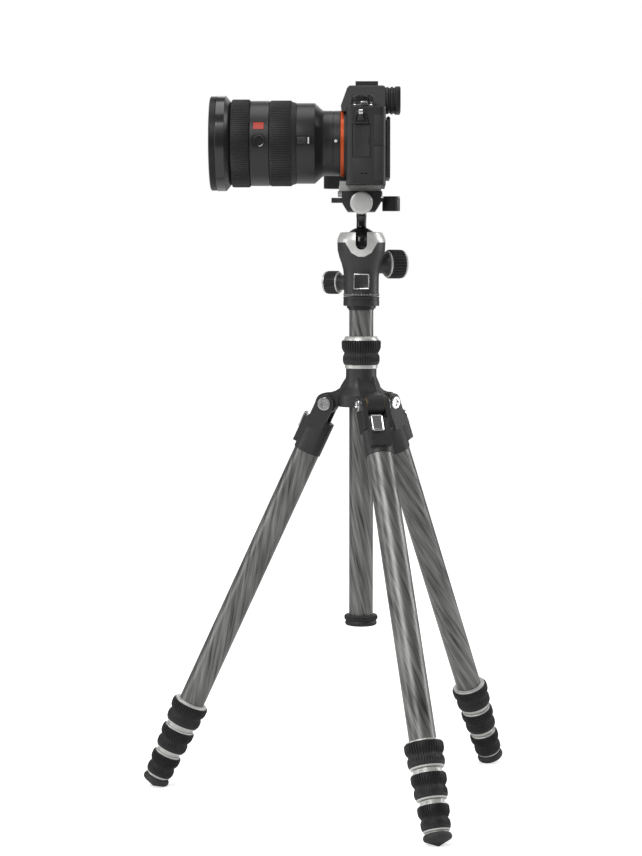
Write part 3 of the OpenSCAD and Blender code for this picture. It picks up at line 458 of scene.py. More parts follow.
for leg in (1, 2, 3):
    down = leg_frame(leg)
    name = f"leg_{leg}"
    form = carried(f"{name}_upper", down, keep=lambda points: min(point.z for point in points) < 10)
    piece(f"{name}_casting", form, down, [casting], name, edge=0.7)

    form = bmesh.new()
    tube(form, tube_radii[0], 22, lock_tops[0] + thread_length)
    thread_band(form, tube_radii[0] + 1.25, lock_tops[0] - 0.6, lock_tops[0] + thread_length, 1)
    piece(f"{name}_tube", form, down, [carbon, anodised], name, [f"{name}_upper"])

    form = bmesh.new()
    bmesh.ops.create_cube(
        form, size=1, matrix=Matrix.Translation((16.8, 4, 23.5)) @ Matrix.Diagonal((2, 11, 15.6, 1)),
    )
    rim = [edge for edge in form.edges if abs(edge.verts[0].co.x - edge.verts[1].co.x) > 1]
    bmesh.ops.bevel(form, geom=rim, offset=1.6, segments=4, profile=0.5, affect="EDGES", material=-1)
    outer = [face for face in form.faces if face.normal.x > 0.9]
    bmesh.ops.inset_region(form, faces=outer, thickness=1.1, depth=-0.7)
    for face in outer:
        face.material_index = 0
    bmesh.ops.create_cube(
        form, size=1, matrix=Matrix.Translation((17.6, 4, 29.9)) @ Matrix.Diagonal((1.1, 8.6, 1.6, 1)),
    )
    bmesh.ops.create_cube(
        form, size=1, matrix=Matrix.Translation((8.5, 4, 19.3)) @ Matrix.Diagonal((15.6, 7.8, 3.4, 1)),
    )
    piece(
        f"{name}_latch", form, down, [bright_steel], f"{name}_latch", [f"{name}_latch"],
        edge=0.25,
    )

    for lock, (top, radius) in enumerate(zip(lock_tops, tube_radii), 1):
        form = bmesh.new()
        nut, high, low = radius + 2.57, radius + 5.4, radius + 4.4
        grip(form, top + 1.22, lock_height - 2.64, nut, high, low, 42)
        throat = radius - 1.7 + 0.06
        bright = [
            (radius + 1.31, top), (high - 2.1, top), (high - 1.8, top + 0.3), (high - 1.8, top + 1.2),
            (nut - 0.02, top + 1.2), (nut - 0.02, top + lock_height - 1.4),
            (low - 1.3, top + lock_height - 1.4),
            (low - 1.7, top + lock_height - 0.3), (low - 2.2, top + lock_height), (throat, top + lock_height),
            (throat, top + 15), (radius + 1.31, top + 15),
        ]
        turned(form, bright, 96, finish=1, ring=True)
        lock_name = f"{name}_lock_{lock}"
        piece(lock_name, form, down, [rubber, anodised], lock_name, [lock_name])

    for section in (2, 3):
        form = bmesh.new()
        radius = tube_radii[section - 1]
        start, end = 22 + 2 * section, lock_tops[section - 1]
        tube(form, radius, start, end + thread_length)
        bush = tube_radii[section - 2] - 1.26
        turned(
            form, [(radius + 0.02, start), (bush, start), (bush, start + 26), (radius + 0.02, start + 26)],
            64, ring=True,
        )
        above = lock_tops[section - 2] + lock_height + 0.5
        thread_band(form, radius + 1.25, end - 0.4, end + thread_length, 1)
        thread_band(form, radius + 2.15, above, end - 0.4, 1)
        section_name = f"{name}_section_{section}"
        piece(section_name, form, down, [carbon, anodised], section_name, [section_name])

# ---- Feet ----
# Each last tube ends in a mushroom of moulded rubber whose cone lies flat on the ground,
# under a thin turned ring.
foot_rubber = Finish("foot_rubber", (0.02, 0.02, 0.021), 0.66)
foot_rubber.worn((0.018, 0.018, 0.019), (0.05, 0.049, 0.047), 0.66, 0.18, 0.18)
foot_rubber.raised(foot_rubber.noise(2.4, 3), 0.05)
foot_top = 396.4
foot_outline = [
    (0, 0), (9.6, 0), (11.0, 0.3), (12.0, 1.1), (12.6, 2.2), (12.8, 3.2), (12.7, 4.3), (12.3, 5.2),
    (11.4, 6.0), (8.0, 7.585), (0, 11.316),
]
for leg in (1, 2, 3):
    down = leg_frame(leg)
    name = f"leg_{leg}_section_4"
    form = bmesh.new()
    turned(form, [(radius, foot_top + along) for radius, along in foot_outline], 96, finish=2)
    tube(form, tube_radii[3], 30, foot_top - 0.02)
    turned(form, [(7.07, 30), (7.49, 30), (7.49, 56), (7.07, 56)], 64, ring=True)
    turned(form,
    [(7.07, foot_top - 1.2), (9.4, foot_top - 1.2), (9.8, foot_top - 0.8), (9.8, foot_top - 0.05),
                  (7.07, foot_top - 0.05)], 72, finish=1, ring=True)
    piece(name, form, down, [carbon, anodised, foot_rubber], name, [name])

# ---- Column ----
# A 22.4 mm carbon tube in the spider's neck, held by a large twist lock,
# with a ribbed rubber cap on its lower end.
lock_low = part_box("column_lock")[0].z * 1000
lock_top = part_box("column_lock")[1].z * 1000
form = bmesh.new()
grip(form, lock_top - 3.62, 22.76, 15.47, 18.3, 17.2, 46, flip=True)
ring_outline = [
    (13.11, lock_low), (15.0, lock_low), (15.2, lock_low + 0.3), (15.2, lock_low + 3.4),
    (15.45, lock_low + 3.4),
    (15.45, lock_top - 3.6), (16.3, lock_top - 3.6), (16.1, lock_top - 2.9), (14.8, lock_top - 0.3),
    (14.4, lock_top),
    (11.26, lock_top), (11.26, lock_top - 6), (13.11, lock_top - 6),
]
turned(form, ring_outline, 96, finish=1, ring=True)
piece("column_lock", form, on_column, [rubber, anodised], "column_lock", ["column_lock"])

column_low, column_top = (corner.z * 1000 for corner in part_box("column_tube"))
form = bmesh.new()
tube(form, 11.2, column_low, column_top)
piece("column_tube", form, on_column, [carbon], "column", ["column_tube"])

cap_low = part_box("column_end_cap")[0].z * 1000
cap_outline = [
    (0, 0), (12.2, 0), (13.6, 0.4), (14.5, 1.1), (15.0, 2.3), (14.6, 3.9), (14.0, 4.9), (14.5, 5.3),
    (15.3, 5.9),
    (15.6, 6.8), (15.6, 8.6), (15.2, 9.6), (14.4, 10.2), (11.25, 10.2), (11.25, 6.2), (9.95, 6.2),
    (9.95, 18.2), (0, 18.2),
]
form = bmesh.new()
verts = turned(form, [(radius, cap_low + along) for radius, along in cap_outline], 192)
ribbed(verts, 48, 0.6, cap_low + 5.4, cap_low + 9.8, 14.5)
ribbed(verts, 48, 0.35, cap_low + 1.0, cap_low + 3.5, 14.2)
piece("column_end_cap", form, on_column, [rubber], "column", ["column_end_cap"])

# ---- Ball head ----
# A black base screwed to the column, a charcoal turning body with a bead-blasted pale
# top, and a gloss-coated ball that the stem rides in a notch of the body.
satin_black = Finish("satin_black", (0.022, 0.022, 0.023), 0.42)
satin_black.worn((0.02, 0.02, 0.021), (0.03, 0.03, 0.031), 0.42, 0.12)
satin_black.raised(satin_black.noise(8, 2), 0.012)
base_low, base_high = (corner.z * 1000 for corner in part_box("head_base"))
base_top = base_high - 8
base_outline = [
    (0, base_low), (12.0, base_low), (12.0, base_low + 1.4), (13.4, base_low + 1.4), (13.4, base_low + 3.7),
    (16.1, base_low + 3.7), (16.7, base_low + 4.3), (16.7, base_top - 3.4), (16.3, base_top - 3.2),
    (16.3, base_top - 2.8),
    (16.7, base_top - 2.6), (16.7, base_top - 0.5), (16.2, base_top), (8, base_top), (8, base_high),
    (0, base_high),
]
form = bmesh.new()
turned(form, base_outline, 128)
piece("head_base", form, on_column, [satin_black], "column", ["head_base"])

piece(
    "head_body", carried("head_body", on_column), on_column, [casting], "head",
    ["head_body"], edge=0.6,
)
piece(
    "head_trim", carried("head_trim", on_column), on_column, [anodised], "head",
    ["head_trim"], edge=0.5,
)

body_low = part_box("head_body")[0].z * 1000
scale_black = Finish("engraved_scale", (0.02, 0.02, 0.02), 0.45)
angle = scale_black.node(
    "ShaderNodeMath", {"operation": "ARCTAN2"}, scale_black.along("Y"), scale_black.along("X"),
)
step = (angle * (72 / math.tau) + 100) % 1
tall = (angle * (12 / math.tau) + 100) % 1
tick = (step < 0.2) * ((scale_black.along("Z") < body_low + 2.0) + (tall < 0.09) > 0.5)
scale_black.set("Base Color", scale_black.mix(tick, (0.02, 0.02, 0.02), (0.75, 0.75, 0.73)))
form = bmesh.new()
turned(
    form, [(16.3, body_low + 0.7), (16.6, body_low + 0.8), (16.6, body_low + 2.5), (16.3, body_low + 2.6)],
    128, ring=True,
)
piece("pan_scale", form, on_column, [scale_black], "head")


def bar(form, low, high, round_off=0.0, finish=0, segments=3):
    """A block between two corners, with its edges rounded."""
    size = Vector(high) - Vector(low)
    centre = (Vector(high) + Vector(low)) / 2
    made = bmesh.ops.create_cube(
        form, size=1, matrix=Matrix.Translation(centre) @ Matrix.Diagonal((*size, 1)),
    )
    faces = list({face for vert in made["verts"] for face in vert.link_faces})
    for face in faces:
        face.material_index = finish
    if round_off:
        edges = list({edge for face in faces for edge in face.edges})
        bmesh.ops.bevel(
            form, geom=edges, offset=round_off, segments=segments, profile=0.5, affect="EDGES", material=-1
        )


plate_z = pivot_z * 1000 + 113.4
form = bmesh.new()
bar(form, (-7.1, -17.5, plate_z - 7.1), (7.1, -16.6, plate_z + 7.1), 0.35)
front = [face for face in form.faces if face.normal.y < -0.99]
bmesh.ops.inset_region(form, faces=front, thickness=0.75, depth=-0.3)
for face in front:
    face.material_index = 1
piece("head_plate", form, on_column, [bright_steel, satin_black], "head")

ball_centre = Vector(joints["ball_lean"]["pos_m"])
ball_gloss = Finish("gloss_ball", (0.01, 0.01, 0.011), 0.13, Specular_IOR_Level=0.35)
ball_gloss.set("Roughness", ball_gloss.noise(0.4, 3) * 0.08 + 0.1)
form = bmesh.new()
bmesh.ops.create_uvsphere(form, u_segments=96, v_segments=64, radius=16.3)
piece("ball", form, Matrix.Translation(ball_centre), [ball_gloss], "ball", ["ball"])

dark_chrome = Finish("dark_chrome", (0.06, 0.06, 0.062), 0.16, Metallic=1.0)
dark_chrome.worn((0.045, 0.045, 0.047), (0.075, 0.075, 0.077), 0.16, 0.08, 0.6)
clamp_low = (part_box("clamp_base")[0].z - ball_centre.z) * 1000
stem_outline = [
    (0, 16.4), (2.6, 16.2), (4.3, 15.75), (4.75, 16.3), (4.55, 17.2), (4.5, 18.6), (4.5, clamp_low - 5.4),
    (4.75, clamp_low - 4.9),
    (4.75, clamp_low - 3.0), (4.4, clamp_low - 2.6), (4.4, clamp_low - 2.0), (4.75, clamp_low - 1.6),
    (4.75, clamp_low - 0.1),
    (3.35, clamp_low - 0.1), (3.35, clamp_low + 5), (0, clamp_low + 5),
]
form = bmesh.new()
turned(form, stem_outline, 96)
piece("ball_stem", form, Matrix.Translation(ball_centre), [dark_chrome], "stem", ["ball_stem"])

# ---- Head's knobs ----
# Two locking knobs: a bright skirt, a rubber tyre with deep flutes, and a domed pale cap.


def knob(name, joint, radius, ring_at, grip_end, shaft, flutes, body):
    """A locking knob on its joint's axis, from its shaft out to its cap."""
    axis = Vector(joints[joint]["axis"])
    centre = Vector(joints[joint]["pos_m"])
    at = Matrix.Translation(centre) @ axis.to_track_quat("Z", "Y").to_matrix().to_4x4()
    form = bmesh.new()
    core = [
        (0, 13), (shaft, 13), (shaft, ring_at), (radius - 1.6, ring_at), (radius - 1.1, ring_at + 0.4),
        (radius - 1.1, ring_at + 1.3),
        (radius - 3, ring_at + 1.3), (radius - 3, grip_end), (radius - 0.4, grip_end),
        (radius - 0.3, grip_end + 0.8),
        (radius - 0.9, grip_end + 1.7), (radius - 2.2, grip_end + 2.4), (radius - 3.6, grip_end + 2.8),
        (radius * 0.4, grip_end + 3.2), (0, grip_end + 3.3),
    ]
    turned(form, core, 96, finish=1)
    length = grip_end - ring_at - 1.3
    tyre = [
        (radius - 2.98, 0.02), (radius - 0.9, 0.02), (radius - 0.2, 0.5), (radius, 1.2),
        (radius, length * 0.5),
        (radius, length - 1.3), (radius - 0.3, length - 0.6), (radius - 1.0, length - 0.03),
        (radius - 2.98, length - 0.03),
    ]
    verts = turned(form, tyre, flutes * 4, finish=0, ring=True)
    ribbed(verts, flutes, 0.95, 0.4, length - 0.5, radius - 1.5)
    bmesh.ops.transform(form, matrix=Matrix.Translation((0, 0, ring_at + 1.3)), verts=verts)
    piece(name, form, at, [rubber, anodised], body, [name])


knob("ball_lock_knob", "ball_lock_turn", 13.5, 26, 41, 3.5, 30, "ball_lock_knob")
knob("pan_lock_knob", "pan_lock_turn", 10.8, 22, 34.4, 3, 26, "pan_lock_knob")

# ---- Clamp ----
# A black anodised dovetail clamp in two jaws, a pale screw knob, and a level in a round pot on one arm.
piece(
    "clamp_base", carried("clamp_base", on_column), on_column, [satin_black], "clamp",
    ["clamp_base"], edge=0.5,
)
piece(
    "clamp_jaw", carried("clamp_jaw", on_column), on_column, [satin_black], "clamp_jaw",
    ["clamp_jaw"], edge=0.5,
)

clamp_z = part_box("clamp_base")[0].z * 1000
pot_x = 27.5
fluid = Finish("level_fluid", (0.55, 0.72, 0.12), 0.06, Transmission_Weight=0.35, IOR=1.33)
across = fluid.along("X") - pot_x
reach = fluid.node(
    "ShaderNodeVectorMath", {"operation": "LENGTH"},
    fluid.node("ShaderNodeCombineXYZ", {}, across, fluid.along("Y")), out=1,
)
fluid.set("Base Color", fluid.mix(reach < 2.0, (0.5, 0.68, 0.1), (0.8, 0.9, 0.45)))
form = bmesh.new()
at_pot = Matrix.Translation((pot_x, 0, 0))
turned(
    form,
    [
        (0, clamp_z + 13.0), (5.6, clamp_z + 13.0), (5.9, clamp_z + 13.25), (4.6, clamp_z + 13.7),
        (0, clamp_z + 13.9),
    ],
    64, at_pot,
)
turned(
    form,
    [
        (5.9, clamp_z + 13.1), (8.1, clamp_z + 13.1), (8.1, clamp_z + 13.7), (7.7, clamp_z + 14.0),
        (6.2, clamp_z + 14.0), (5.9, clamp_z + 13.7),
    ],
    64, at_pot, 1, ring=True,
)
turned(
    form, [(2.2, clamp_z + 13.6), (2.5, clamp_z + 13.6), (2.5, clamp_z + 13.95), (2.2, clamp_z + 13.95)],
    48, at_pot, 2, ring=True,
)
piece("level", form, on_column, [fluid, satin_black, scale_black], "clamp")

knob_centre = Vector(joints["clamp_knob_turn"]["pos_m"])
forward = Matrix(((1, 0, 0), (0, 0, -1), (0, 1, 0))).to_4x4()
seat = 24.3
form = bmesh.new()
face_outline = [
    (0, 5), (2.5, 5), (2.5, 14), (3.6, 14), (3.6, seat), (7.9, seat), (7.9, seat + 2.9), (9.6, seat + 2.9),
    (10.3, seat + 3.6),
    (10.3, seat + 5.0), (9.9, seat + 5.3), (9.9, seat + 5.7), (10.3, seat + 6.0), (10.3, seat + 10.4),
    (9.7, seat + 11.1), (9.2, seat + 11.4),
    (7.7, seat + 11.4), (7.4, seat + 11.1), (7.0, seat + 11.1), (6.7, seat + 11.4), (0, seat + 11.4),
]
verts = turned(form, face_outline, 240)
ribbed(verts, 60, 0.35, seat + 5.9, seat + 10.5, 10.0)
piece(
    "clamp_knob", form, Matrix.Translation(knob_centre) @ forward, [anodised], "clamp_knob",
    ["clamp_knob"],
)

plate_grey = Finish("plate_grey", (0.6, 0.6, 0.58), 0.4, Metallic=0.8)
plate_grey.worn((0.55, 0.55, 0.54), (0.68, 0.68, 0.66), 0.4, 0.12, 0.6)
plate_grey.raised(plate_grey.noise(7, 2), 0.012)
piece(
    "release_plate", carried("release_plate", on_column), on_column, [plate_grey], "camera",
    ["release_plate"], edge=0.4,
)

# ---- Camera body ----
# A magnesium shell in fine textured black paint, with a grained rubber skin on its grip and back,
# rubber covers over its sockets, and a steel lug for the strap at each end.
base_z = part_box("camera_body")[0].z * 1000
camera_frame = column_axis + Vector((0, 0, base_z / 1000))
in_camera = Matrix.Translation(camera_frame)
paint = Finish("textured_black_paint", (0.017, 0.017, 0.018), 0.5)
grain = paint.noise(2.6, 3)
speckle = paint.noise(7.5, 2)
skin = (paint.along("Y") > 38.0) * (paint.along("Z") < 64.0)
paint.set(
    "Base Color",
    paint.mix(skin, paint.mix(speckle, (0.014, 0.014, 0.015), (0.03, 0.03, 0.031)), (0.013, 0.013, 0.013)),
)
paint.set("Roughness", speckle * 0.16 + skin * 0.14 + 0.4)
paint.raised(speckle * 0.3 + grain * skin, 0.09)
piece(
    "camera_body", carried("camera_body", in_camera), in_camera, [paint], "camera",
    ["camera_body"], edge=0.7,
)


shoe_foot = (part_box("top_cover")[1].z * 1000 - base_z) - 4.05


def cover_finish(face):
    return 1 if face.calc_center_median().z > shoe_foot else 0


piece(
    "top_cover", carried("top_cover", in_camera, cover_finish), in_camera, [paint, satin_black], "camera",
    ["top_cover"], edge=0.5,
)

cover_rubber = Finish("cover_rubber", (0.02, 0.02, 0.021), 0.6)
cover_rubber.raised(cover_rubber.noise(5, 3), 0.03)
cover_rubber.worn((0.018, 0.018, 0.019), (0.028, 0.028, 0.028), 0.6, 0.1)
monitor_glass = Finish("display_glass", (0.008, 0.008, 0.009), 0.12, Coat_Weight=0.5, Coat_Roughness=0.04)
monitor_glass.set("Roughness", monitor_glass.noise(0.2, 3) * 0.06 + 0.09)
body_side = (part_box("camera_body")[0].y - column_axis.y) * 1000 + 4.4
form = bmesh.new()
for low, high in ((3.0, 33.9), (34.4, 62.0)):
    bar(form, (11.4, body_side - 0.4, low), (19.6, body_side + 0.5, high), 0.35)
for middle in (0.4, 4.0):
    bar(form, (middle - 1.4, body_side - 0.12, 8.7), (middle + 1.4, body_side + 0.4, 10.2), 0.1, 1)
piece("side_covers", form, in_camera, [cover_rubber, monitor_glass], "camera")

form = bmesh.new()
for side in ("left", "right"):
    hook = (Vector(joints[f"strap_ring_{side}_swing"]["pos_m"]) - camera_frame) * 1000
    inward = 1 if side == "left" else -1
    verts = turned(form, [(1.05, -1.9), (2.3, -1.9), (2.5, -1.6), (2.5, 1.6), (2.3, 1.9), (1.05, 1.9)], 32,
                   Matrix.Translation(hook) @ Matrix.Rotation(math.pi / 2, 4, "Y"), ring=True)
    ends = sorted((hook.y + inward * 1.6, hook.y + inward * 3.2))
    bar(form, (hook.x - 1.9, ends[0], hook.z - 1.6), (hook.x + 1.9, ends[1], hook.z + 2.0), 0.4)
piece("strap_lugs", form, in_camera, [bright_steel], "camera")

form = bmesh.new()
door_low = (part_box("terminal_door")[0] - camera_frame) * 1000
door_high = (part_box("terminal_door")[1] - camera_frame) * 1000
bar(
    form, (door_low.x + 0.8, door_low.y - 0.25, door_low.z), (door_high.x, door_high.y - 0.1, door_high.z),
    0.5,
)
outer = [face for face in form.faces if face.normal.y < -0.99]
bmesh.ops.inset_region(form, faces=outer, thickness=1.2, depth=-0.18)
turned(form, [(0.35, door_low.z), (0.8, door_low.z), (0.8, door_high.z), (0.35, door_high.z)], 24,
       Matrix.Translation((door_low.x + 0.8, door_low.y + 0.8, 0)), ring=True)
bar(
    form, (door_high.x - 2.6, door_low.y - 0.7, door_low.z + 12),
    (door_high.x - 1.6, door_low.y - 0.1, door_low.z + 17), 0.3,
)
piece("terminal_door", form, in_camera, [cover_rubber], "terminal_door", ["terminal_door"])

def monitor_finish(face):
    centre = face.calc_center_median()
    return 1 if face.normal.x > 0.9 and 12 < centre.z < 55 and -45 < centre.y < 23 else 0


piece(
    "monitor", carried("monitor", in_camera, monitor_finish), in_camera, [satin_black, monitor_glass],
    "monitor", ["monitor"], edge=0.4,
)

form = bmesh.new()
loop = []
back = (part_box("eyecup")[0].x - column_axis.x) * 1000
for depth, half_w, half_h in (
    (0, 18.2, 11.4), (2.4, 18.4, 11.6), (3.2, 17.6, 10.8), (4.2, 17.6, 10.8), (5.0, 18.6, 11.8),
    (6.4, 18.7, 11.9), (7.2, 17.8, 11.0),
    (8.2, 17.9, 11.1), (9.0, 18.9, 12.1), (12.4, 19.0, 12.2), (13.4, 18.6, 11.8), (13.7, 17.6, 10.8),
    (13.2, 16.2, 9.4),
    (8.0, 13.4, 8.0), (5.0, 13.0, 7.6),
):
    verts = [
        form.verts.new((back + depth, side * half_w, 78.6 + up * half_h))
        for side, up in ((-1, -1), (1, -1), (1, 1), (-1, 1))
    ]
    edges = [form.edges.new(pair) for pair in zip(verts, verts[1:] + verts[:1])]
    corners = bmesh.ops.bevel(
        form, geom=verts, offset=6.5, segments=8, profile=0.5, affect="VERTICES", material=-1,
    )
    ring = list({edge for vert in corners["verts"] for edge in vert.link_edges})
    if loop:
        bmesh.ops.bridge_loops(form, edges=loop + ring)
    else:
        bmesh.ops.contextual_create(form, geom=ring)
    loop = ring
made = bmesh.ops.contextual_create(form, geom=loop)
for face in made["faces"]:
    face.material_index = 1
piece("eyecup", form, in_camera, [rubber, monitor_glass], "camera", ["eyecup"])

# ---- Dials and buttons on the camera ----
# Knurled dials cut from black anodised bar, and a polished shutter release.
dial_black = Finish("dial_black", (0.02, 0.02, 0.021), 0.36, Metallic=0.3)
dial_black.worn((0.017, 0.017, 0.018), (0.032, 0.032, 0.033), 0.36, 0.1)


def dial(name, joint, radius, height, shaft, lift, knurls):
    centre = Vector(joints[joint]["pos_m"])
    form = bmesh.new()
    outline = [
        (0, -shaft), (3, -shaft), (3, 0), (radius - 0.4, 0), (radius, 0.4), (radius, height * 0.5),
        (radius, height - 0.8), (radius - 0.6, height - 0.1),
        (radius - 1.4, height), (radius - 1.9, height - 0.3), (radius - 2.4, height - 0.3), (0, height - 0.3),
    ]
    verts = turned(form, outline, knurls * 4)
    ribbed(verts, knurls, 0.4, 0.3, height - 0.5, radius - 0.8)
    piece(name, form, Matrix.Translation(centre + mm(0, 0, lift)), [dial_black], name, [name])


dial("drive_dial", "drive_dial_turn", 10, 5.4, 7, 6.2, 44)
dial("mode_dial", "mode_dial_turn", 9.2, 7, 3, 1.8, 40)
dial("exposure_dial", "exposure_dial_turn", 7.6, 5, 2, 0.2, 36)

dial_x, dial_y = ((joints["drive_dial_turn"]["pos_m"][k] - camera_frame[k]) * 1000 for k in (0, 1))
form = bmesh.new()
shoulder = (joints["drive_dial_turn"]["pos_m"][2] - camera_frame.z) * 1000
at_dial = Matrix.Translation((dial_x, dial_y, shoulder))
turned(form, [(9.5, 2.4), (10.2, 2.4), (10.2, 3.0), (9.5, 3.0)], 96, at_dial, 1, ring=True)
turned(
    form, [(9.45, 3.1), (10.2, 3.1), (10.4, 3.4), (10.4, 5.2), (10.2, 5.5), (9.45, 5.5)], 96, at_dial,
    ring=True,
)
bar(form, (dial_x - 1.5, dial_y - 11.4, shoulder + 3.2), (dial_x + 4.5, dial_y - 9.6, shoulder + 5.4), 0.5, 1)
piece("drive_lever", form, in_camera, [dial_black, bright_steel], "camera")

button_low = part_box("shutter_button")[0]
form = bmesh.new()
turned(form, [(0, 0), (5.2, 0), (5.2, 4.5), (4.9, 5.1), (4.2, 5.5), (2.6, 5.35), (0, 5.2)], 64)
at_button = Matrix.Translation((button_low.x + 0.0052, button_low.y + 0.0052, button_low.z))
piece("shutter_button", form, at_button, [bright_steel], "shutter_button", ["shutter_button"])

# ---- Strap rings ----
# Bent steel wire hung in each lug, with a moulded black guard against scratches.
coated_wire = Finish("coated_wire", (0.05, 0.05, 0.05), 0.3, Metallic=0.8)
shade = coated_wire.node(
    "ShaderNodeTexNoise", {}, coated_wire.node("ShaderNodeTexCoord", {}, out=3), None, 900, 3,
)
coated_wire.set("Base Color", coated_wire.mix(shade, (0.03, 0.03, 0.03), (0.09, 0.09, 0.09)))
for name in ("strap_ring_left", "strap_ring_right"):
    low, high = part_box(name)
    centre = (low + high) / 2
    frame["nodes"][name].data.materials.clear()
    frame["nodes"][name].data.materials.append(coated_wire.material)
    form = bmesh.new()
    bar(form, (-2.7, -0.75, -3.4), (2.7, 0.75, 3.2), 0.6)
    bmesh.ops.transform(form, matrix=Matrix.Translation((0, 0, 0.2)), verts=form.verts)
    for vert in form.verts:
        vert.co.x *= 1 - 0.07 * vert.co.z
    piece(f"{name}_guard", form, Matrix.Translation(centre), [cover_rubber], name)

# ---- Lens ----
# A barrel of black anodised and painted rings round an orange bayonet ring, with ribbed rubber
# on the focus and zoom rings, and a zooming front barrel that carries the glass.
lens_centre = Vector(joints["zoom_turn"]["pos_m"])
along_lens = Matrix.Translation(lens_centre) @ Matrix(((0, 0, -1), (-1, 0, 0), (0, 1, 0))).to_4x4()
mount_face = -(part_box("lens_mount")[1].x - lens_centre.x) * 1000
start = mount_face + 3.4
nose = -(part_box("lens_front")[0].x - lens_centre.x) * 1000

mount_orange = Finish("orange_ring", (0.72, 0.1, 0.025), 0.34, Metallic=0.35)
mount_orange.worn((0.68, 0.09, 0.02), (0.76, 0.13, 0.035), 0.34, 0.08)
form = bmesh.new()
turned(
    form,
    [
        (25.02, mount_face), (30.2, mount_face), (30.5, mount_face + 0.3), (30.5, start - 0.4),
        (30.2, start - 0.1), (25.02, start - 0.1),
    ],
    128, ring=True,
)
turned(
    form, [(22, mount_face), (25, mount_face), (25, start - 0.6), (22, start - 0.6)], 96, finish=1,
    ring=True,
)
piece("lens_mount", form, along_lens, [mount_orange, bright_steel], "camera", ["lens_mount"])

barrel_black = Finish("barrel_black", (0.016, 0.016, 0.017), 0.36)
fine = barrel_black.noise(5.5, 3)
barrel_black.set("Base Color", barrel_black.mix(fine, (0.013, 0.013, 0.014), (0.026, 0.026, 0.027)))
barrel_black.set("Roughness", fine * 0.1 + 0.3)
barrel_black.raised(fine, 0.02)
gloss_black = Finish("gloss_black", (0.012, 0.012, 0.013), 0.2, Coat_Weight=0.4, Coat_Roughness=0.1)
gloss_black.worn((0.011, 0.011, 0.012), (0.018, 0.018, 0.019), 0.2, 0.06)
marker_white = Finish("marker_white", (0.8, 0.8, 0.78), 0.5)
marker_white.worn((0.78, 0.78, 0.76), (0.84, 0.84, 0.82), 0.5, 0.08)

zoom_at, mid_at, focus_at, front_at = start + 40.8, start + 65.1, start + 83.3, start + 100.6
rear_r, mid_r, journal_r, sleeve_r, mount_r = 37.0, 39.1, 36.7, 34.1, 30.0
barrel_outline = [
    (20.5, mount_face + 1), (21.8, mount_face + 1), (21.8, start), (mount_r - 0.4, start),
    (mount_r, start + 0.5),
    (mount_r, start + 6.0), (mount_r - 0.3, start + 6.3), (mount_r - 0.3, start + 6.8),
    (mount_r, start + 7.1),
    (mount_r, start + 15.4), (mount_r + 0.8, start + 17.0), (rear_r - 0.9, start + 22.8),
    (rear_r - 0.2, start + 23.4), (rear_r, start + 24.2),
    (rear_r, zoom_at - 0.9), (rear_r - 0.4, zoom_at - 0.3), (journal_r, zoom_at - 0.3), (journal_r, mid_at),
    (mid_r - 0.5, mid_at), (mid_r, mid_at + 0.5), (mid_r, focus_at - 0.9), (mid_r - 0.5, focus_at - 0.3),
    (journal_r, focus_at - 0.3), (journal_r, focus_at + 16.8), (sleeve_r, focus_at + 16.8),
    (sleeve_r, start + 26), (20.5, start + 18),
]
form = bmesh.new()
turned(form, barrel_outline, 192, ring=True)
piece("lens_barrel", form, along_lens, [barrel_black], "camera", ["lens_barrel"])


def ribbed_ring(name, low, length, radius, ribs, depth, slope, body):
    """A rubber band with straight ribs along the lens."""
    form = bmesh.new()
    outline = [
        (journal_r + 0.06, low), (rear_r + 0.2, low),
    ] if slope else [(journal_r + 0.06, low), (radius - 0.9, low)]
    outline += [(radius - 1.0, low + slope), (radius - 0.2, low + slope + 0.6), (radius, low + slope + 1.2)]
    outline += [
        (radius, low + length - 1.4), (radius - 0.2, low + length - 0.7), (radius - 0.8, low + length),
        (journal_r + 0.06, low + length),
    ]
    verts = turned(form, outline, ribs * 4, ring=True)
    ribbed(verts, ribs, depth, low + slope + 0.5, low + length - 0.6, radius - 0.5)
    piece(name, form, along_lens, [rubber], body, [name])


ribbed_ring("focus_ring", focus_at, 16.8, 40.4, 120, 0.7, 0, "focus_ring")
ribbed_ring("zoom_ring", zoom_at, 24, 39.4, 112, 0.75, 4.0, "zoom_ring")

front_outline = [
    (sleeve_r - 2, start + 32), (sleeve_r - 0.06, start + 32), (sleeve_r - 0.06, front_at),
    (37.5, front_at), (38.0, front_at + 0.4),
]
front_outline += [(43.2, front_at + 4.7), (43.8, front_at + 5.4), (43.8, nose - 6.3), (43.4, nose - 5.8)]
for groove in range(5):
    low = nose - 5.5 + groove
    front_outline += [(42.9, low), (43.35, low + 0.25), (43.35, low + 0.6), (42.9, low + 0.85)]
front_outline += [(42.6, nose - 0.3), (42.2, nose), (41.1, nose)]
for thread in range(4):
    low = nose - 0.4 - thread
    front_outline += [(41.05, low), (41.4, low - 0.3), (41.4, low - 0.6), (41.05, low - 0.9)]
front_outline += [
    (41.0, nose - 4.3), (39.6, nose - 5.4), (38.6, nose - 5.8), (38.6, nose - 6.6), (37.2, nose - 7.2),
    (37.2, nose - 7.9),
]
front_outline += [(sleeve_r + 1, nose - 9), (sleeve_r + 1, nose - 13), (sleeve_r - 2, nose - 13)]
form = bmesh.new()
turned(form, front_outline, 192, ring=True)
for face in form.faces:
    centre = face.calc_center_median()
    face.material_index = 1 if front_at + 5.4 < centre.z < nose - 6.2 and centre.xy.length > 43 else 0
piece("lens_front", form, along_lens, [barrel_black, gloss_black], "lens_front", ["lens_front"])

coated_glass = Finish(
    "coated_glass", (0.05, 0.03, 0.07), 0.03, IOR=1.6, Transmission_Weight=0.55, Coat_Weight=1.0,
    Coat_Roughness=0.02,
)
# Painted reflection: the glass colour goes from dark violet face-on to grey-green at grazing angles, standing
# in for the coating's reflection.
painted_coating_reflection = coated_glass.node("ShaderNodeLayerWeight", {}, 0.35, out=1)
coated_glass.set("Base Color", coated_glass.mix(painted_coating_reflection, (0.035, 0.02, 0.06), (0.07, 0.12, 0.1)))


